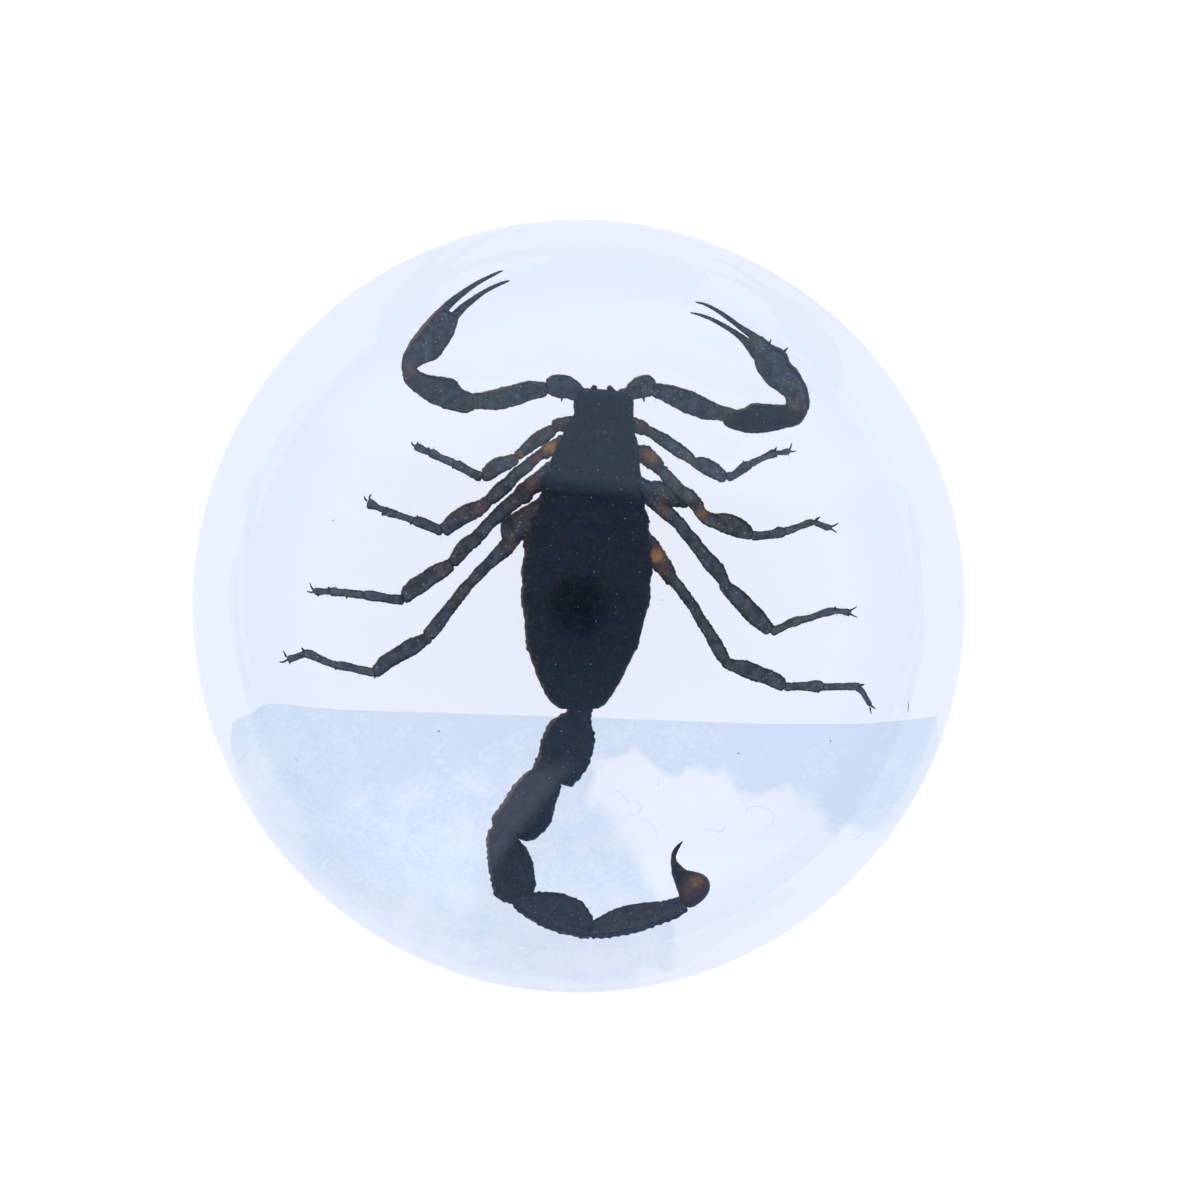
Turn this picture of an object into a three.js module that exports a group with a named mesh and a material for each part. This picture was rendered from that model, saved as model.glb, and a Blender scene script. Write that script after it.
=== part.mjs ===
// A clear cast resin paperweight that holds one dry scorpion.
//
// The block is one solid of revolution: a flat base to rest on, a short upright wall, and a
// domed top that meets the wall in a small rounded shoulder. It stands on its base, +Z up,
// with the origin at the centre of the base, +Y towards the scorpion's head and +X towards
// its right-hand pincer as seen from above. All sizes are in millimetres.

import * as THREE from 'three';

// Driving dimensions of the block.
const BLOCK_DIAMETER = 63;
const BLOCK_HEIGHT = 22;
const DOME_RISE = 15; // from where the dome would meet the wall, up to its crown
const SHOULDER_RADIUS = 2;
const BASE_EDGE_RADIUS = 0.8;

// How finely the curved surfaces are divided.
const TURNS = 96;
const BASE_EDGE_STEPS = 3;
const SHOULDER_STEPS = 4;
const DOME_STEPS = 16;

// Sizes that follow from the ones above.
const WALL_RADIUS = BLOCK_DIAMETER / 2;
const DOME_RADIUS = (WALL_RADIUS ** 2 + DOME_RISE ** 2) / (2 * DOME_RISE);
const DOME_CENTRE_HEIGHT = BLOCK_HEIGHT - DOME_RADIUS;

const clearResin = new THREE.MeshStandardMaterial({
  name: 'clear_resin',
  color: 0xe9f1fe,
  roughness: 0.02,
  metalness: 0,
  transparent: true,
  opacity: 0.35,
});

// Points of an arc in the plane of the profile: x is the radius, y is the height.
function arcPoints(centreX, centreY, radius, fromAngle, toAngle, steps) {
  const points = [];
  for (let step = 0; step <= steps; step += 1) {
    const angle = fromAngle + ((toAngle - fromAngle) * step) / steps;
    points.push(
      new THREE.Vector2(centreX + radius * Math.cos(angle), centreY + radius * Math.sin(angle)),
    );
  }
  return points;
}

// The small rounding between the flat base and the wall.
function baseEdge() {
  const centreX = WALL_RADIUS - BASE_EDGE_RADIUS;
  return arcPoints(centreX, BASE_EDGE_RADIUS, BASE_EDGE_RADIUS, -Math.PI / 2, 0, BASE_EDGE_STEPS);
}

// The angle above the horizontal, seen from the dome's centre, at which the dome ends and the
// shoulder begins. The shoulder's circle touches the wall from inside and the dome from inside.
function shoulderAngle() {
  return Math.acos((WALL_RADIUS - SHOULDER_RADIUS) / (DOME_RADIUS - SHOULDER_RADIUS));
}

// The rounding between the wall and the dome.
function shoulder() {
  const angle = shoulderAngle();
  const centreX = WALL_RADIUS - SHOULDER_RADIUS;
  const centreY = DOME_CENTRE_HEIGHT + (DOME_RADIUS - SHOULDER_RADIUS) * Math.sin(angle);
  return arcPoints(centreX, centreY, SHOULDER_RADIUS, 0, angle, SHOULDER_STEPS);
}

// The dome from the end of the shoulder to just before its crown. The shoulder already holds
// the first point, and the crown is added on the axis itself.
function dome() {
  const start = shoulderAngle();
  const arc = arcPoints(0, DOME_CENTRE_HEIGHT, DOME_RADIUS, start, Math.PI / 2, DOME_STEPS);
  return arc.slice(1, -1);
}

// The whole half section, from the centre of the base round to the crown of the dome.
function blockProfile() {
  return [
    new THREE.Vector2(0, 0),
    ...baseEdge(),
    ...shoulder(),
    ...dome(),
    new THREE.Vector2(0, BLOCK_HEIGHT),
  ];
}

function resinBlock() {
  const geometry = new THREE.LatheGeometry(blockProfile(), TURNS);
  geometry.rotateX(Math.PI / 2); // the lathe turns about Y; the block stands along Z
  const mesh = new THREE.Mesh(geometry, clearResin);
  mesh.name = 'resin_block';
  return mesh;
}

const paperweight = new THREE.Group();
paperweight.name = 'scorpion_in_resin';
paperweight.add(resinBlock());

export default paperweight;
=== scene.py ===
"""A dark scorpion sealed in a round, domed block of clear, faintly blue resin.

The block stands on its flat base at the origin, +Z up, with the scorpion's head towards +Y.
Shapes are worked out in millimetres and scaled to metres when a mesh is made. Outlines of the
sealed pieces are given as they are seen from straight above through the dome; DomeLens turns
them into true places, so the view from above shows them where they were measured.
"""

import logging
import math
from dataclasses import dataclass, field
from enum import Enum
from typing import Callable, Optional, Sequence, Union

import bpy
import numpy as np
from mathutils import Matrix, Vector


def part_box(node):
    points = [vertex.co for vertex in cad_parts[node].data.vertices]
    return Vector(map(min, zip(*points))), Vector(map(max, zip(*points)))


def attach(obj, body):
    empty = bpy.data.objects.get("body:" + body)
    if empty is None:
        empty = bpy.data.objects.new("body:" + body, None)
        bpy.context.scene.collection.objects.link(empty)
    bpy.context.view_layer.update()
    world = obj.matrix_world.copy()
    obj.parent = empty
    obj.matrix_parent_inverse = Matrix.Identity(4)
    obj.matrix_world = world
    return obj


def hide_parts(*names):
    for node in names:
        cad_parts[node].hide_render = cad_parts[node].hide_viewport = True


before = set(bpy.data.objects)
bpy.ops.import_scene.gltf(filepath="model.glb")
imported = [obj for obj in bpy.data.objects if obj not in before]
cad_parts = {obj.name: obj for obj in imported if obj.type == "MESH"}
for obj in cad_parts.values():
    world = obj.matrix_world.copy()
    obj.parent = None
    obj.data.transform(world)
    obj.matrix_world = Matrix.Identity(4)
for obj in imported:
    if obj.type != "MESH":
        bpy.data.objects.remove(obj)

LOG = logging.getLogger("scorpion_in_resin")
Array = np.ndarray
Material = bpy.types.Material
Pair = tuple[float, float]
Colour = tuple[float, float, float]
Rows = tuple[tuple[float, ...], ...]
Socket = bpy.types.NodeSocket
Value = Union[Socket, float]
Paint = Union[Socket, Colour]

MM = 0.001
UP = np.array([0.0, 0.0, 1.0])
LEAN = np.array([-0.7, 0.7, 0.0])  # towards the head and the left
BODY = "root"
BLOCK_NODE = "resin_block"
PICTURE_STEPS = 1200.0  # across and down the camera's view
STEP_MIDDLE = 0.3  # from a step's corner to the place that its number stands for
THINNEST = 0.02  # the least half width that a trimmed limb keeps


class Slot(Enum):
    """The record's material slots."""

    RESIN = "clear_resin"
    CUTICLE = "dry_cuticle"
    SKIN = "joint_skin"
    SEAM = "seam_film"


# ---- Numbers on whole arrays ----


def unit(vectors: Array) -> Array:
    """Gives each vector the length one: the vector over its own length."""
    return vectors / np.maximum(np.linalg.norm(vectors, axis=-1, keepdims=True), 1e-12)


def bell(gap: Array, width: float) -> Array:
    """A smooth hump: e to the minus square of gap over width."""
    return np.exp(-((gap / width) ** 2))


def ramp(value: Array, low: float, high: float) -> Array:
    """Rises smoothly from 0 at low to 1 at high: three u squared minus two u cubed."""
    u = np.clip((value - low) / (high - low), 0.0, 1.0)
    return u * u * (3.0 - 2.0 * u)


def hashed(cells: Array, seed: float) -> Array:
    """Turns lattice cells into repeatable numbers from 0 to 1.

    The number is the fractional part of a large multiple of the sine of a weighted sum.

    Args:
        cells: Whole-numbered places, three numbers each.
        seed: Sets a pattern apart.

    Returns:
        One number for each cell.
    """
    mixed = cells @ np.array([127.1, 311.7, 74.7]) + seed * 19.19
    return np.modf(np.abs(np.sin(mixed)) * 43758.5453)[0]


CUBE_CORNERS = np.array([(i, j, k) for i in (0, 1) for j in (0, 1) for k in (0, 1)])
NEIGHBOURS = np.array([(i, j, k) for i in (-1, 0, 1) for j in (-1, 0, 1) for k in (-1, 0, 1)])


def soft_noise(points: Array, cell: float, seed: float) -> Array:
    """Smooth noise from -1 to 1 in space.

    A point takes the blend of the random values of its eight lattice corners, weighted by
    three u squared minus two u cubed along each axis.

    Args:
        points: Places in millimetres.
        cell: Size of the lattice's cells.
        seed: Sets a pattern apart.

    Returns:
        One value for each point.
    """
    base = np.floor(points / cell)
    part = points / cell - base
    part = part * part * (3.0 - 2.0 * part)
    total = np.zeros(points.shape[:-1])
    for corner in CUBE_CORNERS:
        weight = np.prod(np.where(corner, part, 1.0 - part), axis=-1)
        total += weight * hashed(base + corner, seed)
    return 2.0 * total - 1.0


def grains(points: Array, spacing: float, seed: float) -> Array:
    """Rounded grains from 0 to 1, one at a random place in each cell of a lattice.

    A point's value is one minus the square of its distance to the nearest grain's middle
    over 0.55 of the spacing, and never below zero.

    Args:
        points: Places in millimetres.
        spacing: Usual distance between grains.
        seed: Sets a pattern apart.

    Returns:
        One value for each point.
    """
    scaled = points / spacing
    base = np.floor(scaled)
    nearest = np.full(points.shape[:-1], 9.0)
    for neighbour in NEIGHBOURS:
        cell = base + neighbour
        middle = np.stack([hashed(cell, seed + axis) for axis in range(3)], axis=-1)
        gap = np.linalg.norm(cell + 0.15 + 0.7 * middle - scaled, axis=-1)
        nearest = np.minimum(nearest, gap)
    return np.clip(1.0 - (nearest / 0.55) ** 2, 0.0, None)


def smooth_rows(rows: Array, count: int, crowding: float = 0.4) -> tuple[Array, Array]:
    """Carries a smooth curve through rows of numbers whose first three are a place.

    Between two rows the curve is the cubic that has their values and slopes. A row's slope is
    the central difference over the distance travelled.

    Args:
        rows: At least two rows: x, y, z and any other sizes.
        count: How many rows to give back.
        crowding: From 0, even, to 1, crowded towards both ends by a cosine.

    Returns:
        The new rows, and how far along the path each lies.
    """
    steps = np.linalg.norm(np.diff(rows[:, :3], axis=0), axis=1)
    marks = np.concatenate([[0.0], np.cumsum(steps)])
    even = np.linspace(0.0, 1.0, count)
    crowded = 0.5 - 0.5 * np.cos(np.pi * even)
    where = marks[-1] * ((1.0 - crowding) * even + crowding * crowded)
    slopes = np.gradient(rows, marks, axis=0)
    piece = np.clip(np.searchsorted(marks, where, side="right") - 1, 0, len(marks) - 2)
    span = (marks[piece + 1] - marks[piece])[:, None]
    u = (where - marks[piece])[:, None] / span
    start, end = rows[piece], rows[piece + 1]
    lean = (u - 2.0 * u**2 + u**3) * slopes[piece] + (u**3 - u**2) * slopes[piece + 1]
    curve = start + (end - start) * (3.0 * u**2 - 2.0 * u**3) + span * lean
    return curve, where


# ---- Closed surfaces ----


@dataclass
class Shell:
    """One closed surface: its points in millimetres, its faces, and its tones.

    A tone is a value for each point: how "amber" it is, how far it is worn "pale", how "level"
    it is, its "lean", from 1 facing the head and the left to -1 facing the tail and the right,
    and its "haze".
    """

    points: Array
    quads: Array
    triangles: Array
    tones: dict[str, Array] = field(default_factory=dict)

    def tone(self, name: str) -> Array:
        """The tone of that name, which is 0 where it was never set."""
        return self.tones.get(name, np.zeros(len(self.points)))

    def volume(self) -> float:
        """The sum of the signed volumes of the cones from the origin to each face.

        Returns:
            The volume, negative if the faces point inwards.
        """
        halves = [self.quads[:, [0, 1, 2]], self.quads[:, [0, 2, 3]], self.triangles]
        corners = self.points[np.concatenate(halves)]
        return float(
            np.einsum("ij,ij->", corners[:, 0], np.cross(corners[:, 1], corners[:, 2])) / 6.0
        )

    def outward(self) -> "Shell":
        """The same surface with its faces pointing out: turned round if its volume is negative.

        Returns:
            The surface.
        """
        if self.volume() >= 0.0:
            return self
        quads, triangles = self.quads[:, ::-1], self.triangles[:, ::-1]
        return Shell(self.points, quads, triangles, self.tones)

    def spotted(self, spots: Rows) -> "Shell":
        """Makes the surface amber round some places.

        A point's amber is the largest of each spot's strength times a bell of the distance to
        it in plan, over its size.

        Args:
            spots: Rows of true x, y, size and strength.

        Returns:
            This shell.
        """
        for x, y, size, strength in spots:
            gap = np.hypot(self.points[:, 0] - x, self.points[:, 1] - y)
            self.tones["amber"] = np.maximum(self.tone("amber"), strength * bell(gap, size))
        return self


def ring_quads(rings: int, sides: int, first: int) -> Array:
    """Faces between neighbouring rings of a grid whose rings close on themselves.

    Args:
        rings: How many rings.
        sides: Points in each ring.
        first: Number of the first ring's first point.

    Returns:
        Rows of four point numbers.
    """
    ring = np.arange(rings - 1)[:, None] * sides
    side = np.arange(sides)[None, :]
    after = (side + 1) % sides
    corners = (ring + side, ring + after, ring + sides + after, ring + sides + side)
    return first + np.stack(corners, axis=-1).reshape(-1, 4)


def tube_shell(start: Array, grid: Array, end: Array) -> Shell:
    """Closes a grid of rings with one pole point at each end.

    Args:
        start: The first pole.
        grid: Rings by sides by three.
        end: The last pole.

    Returns:
        The closed surface, facing out.
    """
    rings, sides = grid.shape[:2]
    points = np.concatenate([start[None], grid.reshape(-1, 3), end[None]])
    side = np.arange(sides)
    after = (side + 1) % sides
    last = 1 + (rings - 1) * sides
    first_fan = np.stack([np.zeros(sides, int), 1 + after, 1 + side], axis=-1)
    last_fan = np.stack([np.full(sides, len(points) - 1), last + side, last + after], axis=-1)
    fans = np.concatenate([first_fan, last_fan])
    return Shell(points, ring_quads(rings, sides, 1), fans).outward()


def band_shell(grid: Array) -> Shell:
    """Closes a grid of flat loops, each an outer edge and then the inner edge back.

    Strips from each outer point to the inner one behind it close the two end loops.

    Args:
        grid: Loops by twice the strip's width by three.

    Returns:
        The closed surface, facing out.
    """
    loops, around = grid.shape[:2]
    side = np.arange(around // 2 - 1)
    strip = np.stack([side, side + 1, around - 2 - side, around - 1 - side], axis=-1)
    last = strip[:, ::-1] + (loops - 1) * around
    quads = np.concatenate([ring_quads(loops, around, 0), strip, last])
    points = grid.reshape(-1, 3)
    return Shell(points, quads, np.zeros((0, 3), int)).outward()


@dataclass(frozen=True)
class Keel:
    """A raised ridge that runs along a limb, often beaded with granules."""

    angle: float  # degrees from the middle of the back
    height: float
    width: float = 0.14
    beads: float = 0.0  # spacing of its granules; 0 leaves it smooth


@dataclass(frozen=True)
class Skin:
    """How a swept surface departs from its smooth outline."""

    squareness: float = 2.2  # power of the section: 2 is an ellipse, more is boxier
    back: float = 90.0  # direction of the back: 90 is up, 0 is left of the travel
    keels: tuple[Keel, ...] = ()
    grain: float = 0.0
    spacing: float = 0.3
    waves: float = 0.0
    wavelength: float = 0.7
    worn: float = 0.0  # how pale its level parts are worn, from 0 to 1
    relief: Optional[Callable[[Array, Array], Array]] = None

    def height(self, points: Array, marks: Array, turn: Array, girth: Array, seed: float) -> Array:
        """How far each point is pushed out, in millimetres.

        The sum of each keel, a bell across the skin times its beads (0.4 plus 0.6 of the
        squared cosine of pi times the distance over the spacing), the grains, the slow waves
        and the relief.

        Args:
            points: The smooth surface, rings by sides by three.
            marks: Each ring's distance along the path.
            turn: Each side's angle round the section, in radians.
            girth: Mean radius of each ring.
            seed: Sets a pattern apart.

        Returns:
            Rings by sides heights.
        """
        length = marks[-1]
        ends = ramp(np.minimum(marks, length - marks), 0.0, 0.25 * min(1.0, length))[:, None]
        from_back = (turn - math.radians(self.back) + np.pi) % (2.0 * np.pi) - np.pi
        total = np.zeros(points.shape[:2])
        for keel in self.keels:
            gap = (from_back - math.radians(keel.angle) + np.pi) % (2.0 * np.pi) - np.pi
            ridge = bell(gap[None, :] * girth[:, None], keel.width)
            if keel.beads > 0.0:
                ridge = ridge * (0.4 + 0.6 * np.cos(np.pi * marks / keel.beads) ** 2)[:, None]
            total += keel.height * ridge
        if self.grain > 0.0:
            total += self.grain * grains(points, self.spacing, seed)
        if self.waves > 0.0:
            total += self.waves * soft_noise(points, self.wavelength, seed + 5.0)
        if self.relief is not None:
            total += self.relief(marks[:, None] / length, from_back[None, :])
        return total * ends


def sweep(
    route: Array,
    skin: Skin = Skin(),
    rings: int = 40,
    sides: int = 28,
    rounding: Pair = (0.3, 0.3),
    seed: float = 1.0,
) -> Shell:
    """Carries a section along a path and rounds off both ends.

    A section's point at angle a is the path's place, plus left times the half width times the
    cosine of a to the power of two over the squareness, plus up times the height above or below
    times the sine of a to that power. Near an end the section shrinks like a quarter of a
    circle: the root of one minus the square of one minus the distance over the rounding. The
    skin then pushes each point out along its normal. Lean is the normal's part towards the
    head and the left, times one minus the square of its part along +Z, whose size is level.

    Args:
        route: Rows of x, y, z, half width, height above and height below the path, and
            perhaps x and y of the direction that counts as left.
        skin: Keels, grains and the like.
        rings: Rows along the path.
        sides: Points in each section.
        rounding: Length of the rounded part at the start and at the end.
        seed: Sets its random pattern apart.

    Returns:
        The closed surface.
    """
    rows, marks = smooth_rows(np.asarray(route, float), rings)
    centre, wide, above, below = rows[:, :3], rows[:, 3], rows[:, 4], rows[:, 5]
    start = np.clip(marks / rounding[0], 0.0, 1.0)
    end = np.clip((marks[-1] - marks) / rounding[1], 0.0, 1.0)
    swell = np.sqrt(1.0 - (1.0 - start) ** 2) * np.sqrt(1.0 - (1.0 - end) ** 2)
    travel = unit(np.gradient(centre, axis=0))
    left = unit(np.cross(UP, travel))
    lift = np.cross(travel, left)
    if rows.shape[1] > 6:
        left = unit(np.column_stack([rows[:, 6:8], np.zeros(rings)]))
    turn = np.linspace(0.0, 2.0 * np.pi, sides, endpoint=False)
    power = 2.0 / skin.squareness
    across = np.sign(np.cos(turn)) * np.abs(np.cos(turn)) ** power
    upright = np.sign(np.sin(turn)) * np.abs(np.sin(turn)) ** power
    tall = np.where(upright[None, :] > 0.0, above[:, None], below[:, None])
    grid = (
        centre[:, None, :]
        + left[:, None, :] * ((wide * swell)[:, None] * across[None, :])[..., None]
        + lift[:, None, :] * (tall * swell[:, None] * upright[None, :])[..., None]
    )
    inner = grid[1:-1]
    along = np.gradient(inner, axis=0)
    around = np.roll(inner, -1, axis=1) - np.roll(inner, 1, axis=1)
    normal = unit(np.cross(around, along))
    side_of = np.einsum("ijk,ijk->", normal, inner - centre[1:-1, None, :])
    normal = normal * np.sign(side_of)
    girth = (wide + 0.5 * (above + below))[1:-1] / 2.0 * swell[1:-1]
    height = skin.height(inner, marks[1:-1], turn, girth, seed)
    shell = tube_shell(centre[0], inner + normal * height[..., None], centre[-1])
    level = np.abs(normal[..., 2])
    tones = {
        "lean": (normal @ LEAN) * (1.0 - level**2),
        "level": level,
        "pale": skin.worn * ramp(level, 0.35, 0.9),
    }
    for name, values in tones.items():
        shell.tones[name] = np.concatenate([[0.0], values.ravel(), [0.0]])
    return shell


def bead(centre: Array, radii: Array, rings: int = 12, sides: int = 16) -> Shell:
    """A closed ellipsoid: each point is the middle plus the radii times a point of a sphere.

    Args:
        centre: Its middle.
        radii: Its half sizes along X, Y and Z.
        rings: Rings between its poles.
        sides: Points in each ring.

    Returns:
        The closed surface.
    """
    tilt = np.linspace(0.0, np.pi, rings + 2)[1:-1, None]
    turn = np.linspace(0.0, 2.0 * np.pi, sides, endpoint=False)[None, :]
    ball = np.stack(
        [np.sin(tilt) * np.cos(turn), np.sin(tilt) * np.sin(turn), np.cos(tilt) + 0.0 * turn],
        axis=-1,
    )
    pole = UP * radii
    return tube_shell(centre + pole, centre + ball * radii, centre - pole)


def bristles(roots: Array, directions: Array, lengths: Array, radius: float) -> Shell:
    """Thin hairs, each a bent three-sided spike.

    A hair's ring at share u is the root plus the direction times u times the length, less a
    droop of a quarter of the length times u squared. Its radius falls by 0.93 times u.

    Args:
        roots: Where the hairs grow.
        directions: Which way, unit length.
        lengths: How long each is.
        radius: Half thickness at the root.

    Returns:
        All the hairs as one surface.
    """
    share = np.array([0.0, 0.35, 0.7, 1.0])
    side = unit(np.cross(directions, UP + 1e-3))
    other = np.cross(directions, side)
    turn = np.arange(3) * 2.0 * np.pi / 3.0
    middle = roots[:, None] + directions[:, None] * (lengths[:, None] * share)[..., None]
    middle = middle - UP * (0.25 * lengths[:, None] * share**2)[..., None]
    rim = (
        side[:, None, :] * np.cos(turn)[None, :, None]
        + other[:, None, :] * np.sin(turn)[None, :, None]
    )
    thin = radius * (1.0 - 0.93 * share)
    grid = middle[:, :, None, :] + rim[:, None, :, :] * thin[None, :, None, None]
    count = len(roots)
    points = grid.reshape(-1, 3)
    each = np.arange(count)[:, None, None]
    quads = (ring_quads(4, 3, 0)[None] + each * 12).reshape(-1, 4)
    ends = (np.array([[0, 1, 2], [11, 10, 9]])[None] + each * 12).reshape(-1, 3)
    return Shell(points, quads, ends).outward()


def joined(shells: Sequence[Shell]) -> Shell:
    """Puts several closed surfaces into one set of points and faces.

    Args:
        shells: The surfaces.

    Returns:
        One surface with the points, faces and tones of all.
    """
    starts = np.cumsum([0] + [len(shell.points) for shell in shells[:-1]])
    names = sorted({name for shell in shells for name in shell.tones})
    return Shell(
        np.concatenate([shell.points for shell in shells]),
        np.concatenate([shell.quads + s for shell, s in zip(shells, starts)]),
        np.concatenate([shell.triangles + s for shell, s in zip(shells, starts)]),
        {name: np.concatenate([shell.tone(name) for shell in shells]) for name in names},
    )


def new_object(name: str, data: bpy.types.ID) -> bpy.types.Object:
    """Puts a new object into the scene, at the origin, unturned and unscaled.

    Args:
        name: Its name.
        data: Its mesh or camera.

    Returns:
        The object.
    """
    made = bpy.data.objects.new(name, data)
    bpy.context.scene.collection.objects.link(made)
    return made


def make_piece(name: str, shells: Sequence[Shell], material: Material, slot: Slot) -> bpy.types.Object:
    """Makes one named Blender object from closed surfaces and lets it ride on the body.

    Args:
        name: The piece's name.
        shells: Its surfaces.
        material: Its finish.
        slot: The record's slot for that finish; not used.

    Returns:
        The new object.
    """
    shell = joined(shells)
    corners = np.concatenate([shell.quads.ravel(), shell.triangles.ravel()])
    sizes = np.concatenate([np.full(len(shell.quads), 4), np.full(len(shell.triangles), 3)])
    starts = np.concatenate([[0], np.cumsum(sizes)[:-1]])
    mesh = bpy.data.meshes.new(name)
    mesh.vertices.add(len(shell.points))
    mesh.vertices.foreach_set("co", (shell.points * MM).ravel())
    mesh.loops.add(len(corners))
    mesh.loops.foreach_set("vertex_index", corners.astype(np.int32))
    mesh.polygons.add(len(sizes))
    mesh.polygons.foreach_set("loop_start", starts.astype(np.int32))
    mesh.update(calc_edges=True)
    mesh.validate()
    mesh.polygons.foreach_set("use_smooth", np.ones(len(mesh.polygons), bool))
    for label, values in shell.tones.items():
        attribute = mesh.attributes.new(label, "FLOAT", "POINT")
        attribute.data.foreach_set("value", values.astype(np.float32))
    mesh.materials.append(material)
    piece = new_object(name, mesh)
    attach(piece, BODY)
    LOG.info("%s: %d faces", name, len(mesh.polygons))
    return piece


# ---- Finishes ----

MIX_FIRST_COLOUR = 6  # place of the first colour among a mix node's inputs
MIX_RESULT_COLOUR = 2  # and of the mixed colour among its outputs


class Nodes:
    """A short way to add nodes to a node tree and join them."""

    def __init__(self, tree: bpy.types.NodeTree) -> None:
        """Works on an empty tree; without a place, textures use their own."""
        self.tree = tree
        self.place: Optional[Socket] = None

    def feed(self, socket: Socket, value: object) -> None:
        """Joins a source to a socket, or sets the socket itself.

        Args:
            socket: An input of one of the tree's nodes.
            value: Another node's output, a number, or a colour, which is made opaque.
        """
        if isinstance(value, Socket):
            self.tree.links.new(value, socket)
        elif socket.type == "RGBA":
            socket.default_value = (*value, 1.0)
        else:
            socket.default_value = value

    def fill(self, node: bpy.types.Node, **values: object) -> bpy.types.Node:
        """Feeds a node's sockets; an underscore in a name stands for a space.

        Args:
            node: The node.
            values: What each socket gets, by its name.

        Returns:
            The node.
        """
        for name, value in values.items():
            self.feed(node.inputs[name.replace("_", " ")], value)
        return node

    def node(self, kind: str, **values: object) -> bpy.types.Node:
        """Adds a shader node of some kind and feeds its sockets."""
        return self.fill(self.tree.nodes.new("ShaderNode" + kind), **values)

    def noise(self, size_mm: float, detail: float = 3.0, distortion: float = 0.0) -> Socket:
        """Noise from 0 to 1 whose lumps are about size_mm across."""
        node = self.node("TexNoise", Vector=self.place, Scale=1.0 / (size_mm * MM))
        return self.fill(node, Detail=detail, Distortion=distortion).outputs["Fac"]

    def cells(self, size_mm: float) -> tuple[Socket, Socket]:
        """Distance to the nearest of random points, about size_mm apart, and its own colour."""
        node = self.node("TexVoronoi", Vector=self.place, Scale=1.0 / (size_mm * MM))
        return node.outputs["Distance"], node.outputs["Color"]

    def spread(
        self, value: Value, low: float, high: float, to_low: float = 0.0, to_high: float = 1.0
    ) -> Socket:
        """Maps low and high smoothly onto to_low and to_high.

        Args:
            value: What is mapped.
            low: Where the result becomes to_low; it may be above high.
            high: Where the result becomes to_high.
            to_low: The result at low.
            to_high: The result at high.

        Returns:
            The mapped value.
        """
        if low > high:
            low, high, to_low, to_high = high, low, to_high, to_low
        node = self.node("MapRange", Value=value, From_Min=low, From_Max=high)
        node.interpolation_type = "SMOOTHSTEP"
        return self.fill(node, To_Min=to_low, To_Max=to_high).outputs["Result"]

    def maths(self, operation: str, first: Value, second: Value) -> Socket:
        """One sum on two values.

        Args:
            operation: The math node's name for it.
            first: The first value.
            second: The second value.

        Returns:
            The result.
        """
        node = self.node("Math")
        node.operation = operation
        self.feed(node.inputs[0], first)
        self.feed(node.inputs[1], second)
        return node.outputs[0]

    def times(self, first: Value, second: Value, *more: Value) -> Socket:
        """The product of two or more values."""
        product = self.maths("MULTIPLY", first, second)
        return self.times(product, *more) if more else product

    def blend(self, share: Value, first: Paint, second: Paint) -> Socket:
        """Mixes two colours.

        Args:
            share: How much of the second colour, from 0 to 1.
            first: The first colour.
            second: The second colour.

        Returns:
            The mixed colour.
        """
        node = self.node("Mix", Factor=share)
        node.data_type = "RGBA"
        self.feed(node.inputs[MIX_FIRST_COLOUR], first)
        self.feed(node.inputs[MIX_FIRST_COLOUR + 1], second)
        return node.outputs[MIX_RESULT_COLOUR]

    def attribute(self, name: str) -> Socket:
        """The mesh's own value of that name.

        Args:
            name: The attribute's name.

        Returns:
            The value.
        """
        node = self.node("Attribute")
        node.attribute_name = name
        return node.outputs["Fac"]


class Canvas(Nodes):
    """The nodes of one new material, which starts with an output and a Principled shader."""

    def __init__(self, name: str) -> None:
        """Makes the material and joins its shader to its output.

        Args:
            name: The material's name.
        """
        self.material = bpy.data.materials.new(name)
        self.material.use_nodes = True
        super().__init__(self.material.node_tree)
        self.tree.nodes.clear()
        self.shader = self.node("BsdfPrincipled")
        self.output = self.node("OutputMaterial", Surface=self.shader.outputs["BSDF"])
        self.place = self.node("TexCoord").outputs["Object"]

    def set(self, **values: object) -> None:
        """Feeds the shader's own sockets."""
        self.fill(self.shader, **values)

    def bump(self, height: Value, depth_mm: float) -> None:
        """Roughens the shader's normal by a height, depth_mm deep."""
        node = self.node("Bump", Strength=1.0, Distance=depth_mm * MM, Height=height)
        self.set(Normal=node.outputs["Normal"])


@dataclass(frozen=True)
class ClearResin:
    """Polished clear casting resin, faintly blue: it takes out a little red and green."""

    refractive_index: float = 1.52
    tint: Colour = (0.868, 0.916, 0.972)
    absorbed: Colour = (0.30, 0.52, 0.90)
    density: float = 1.2  # per metre

    def material(self) -> Material:
        """Plain transmission with absorption.

        Returns:
            The material.
        """
        canvas = Canvas("clear_resin")
        canvas.set(Base_Color=self.tint, Roughness=0.0, IOR=self.refractive_index)
        canvas.set(Transmission_Weight=1.0)
        volume = canvas.node("VolumeAbsorption", Color=self.absorbed, Density=self.density)
        canvas.fill(canvas.output, Volume=volume.outputs["Volume"])
        return canvas.material


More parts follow.
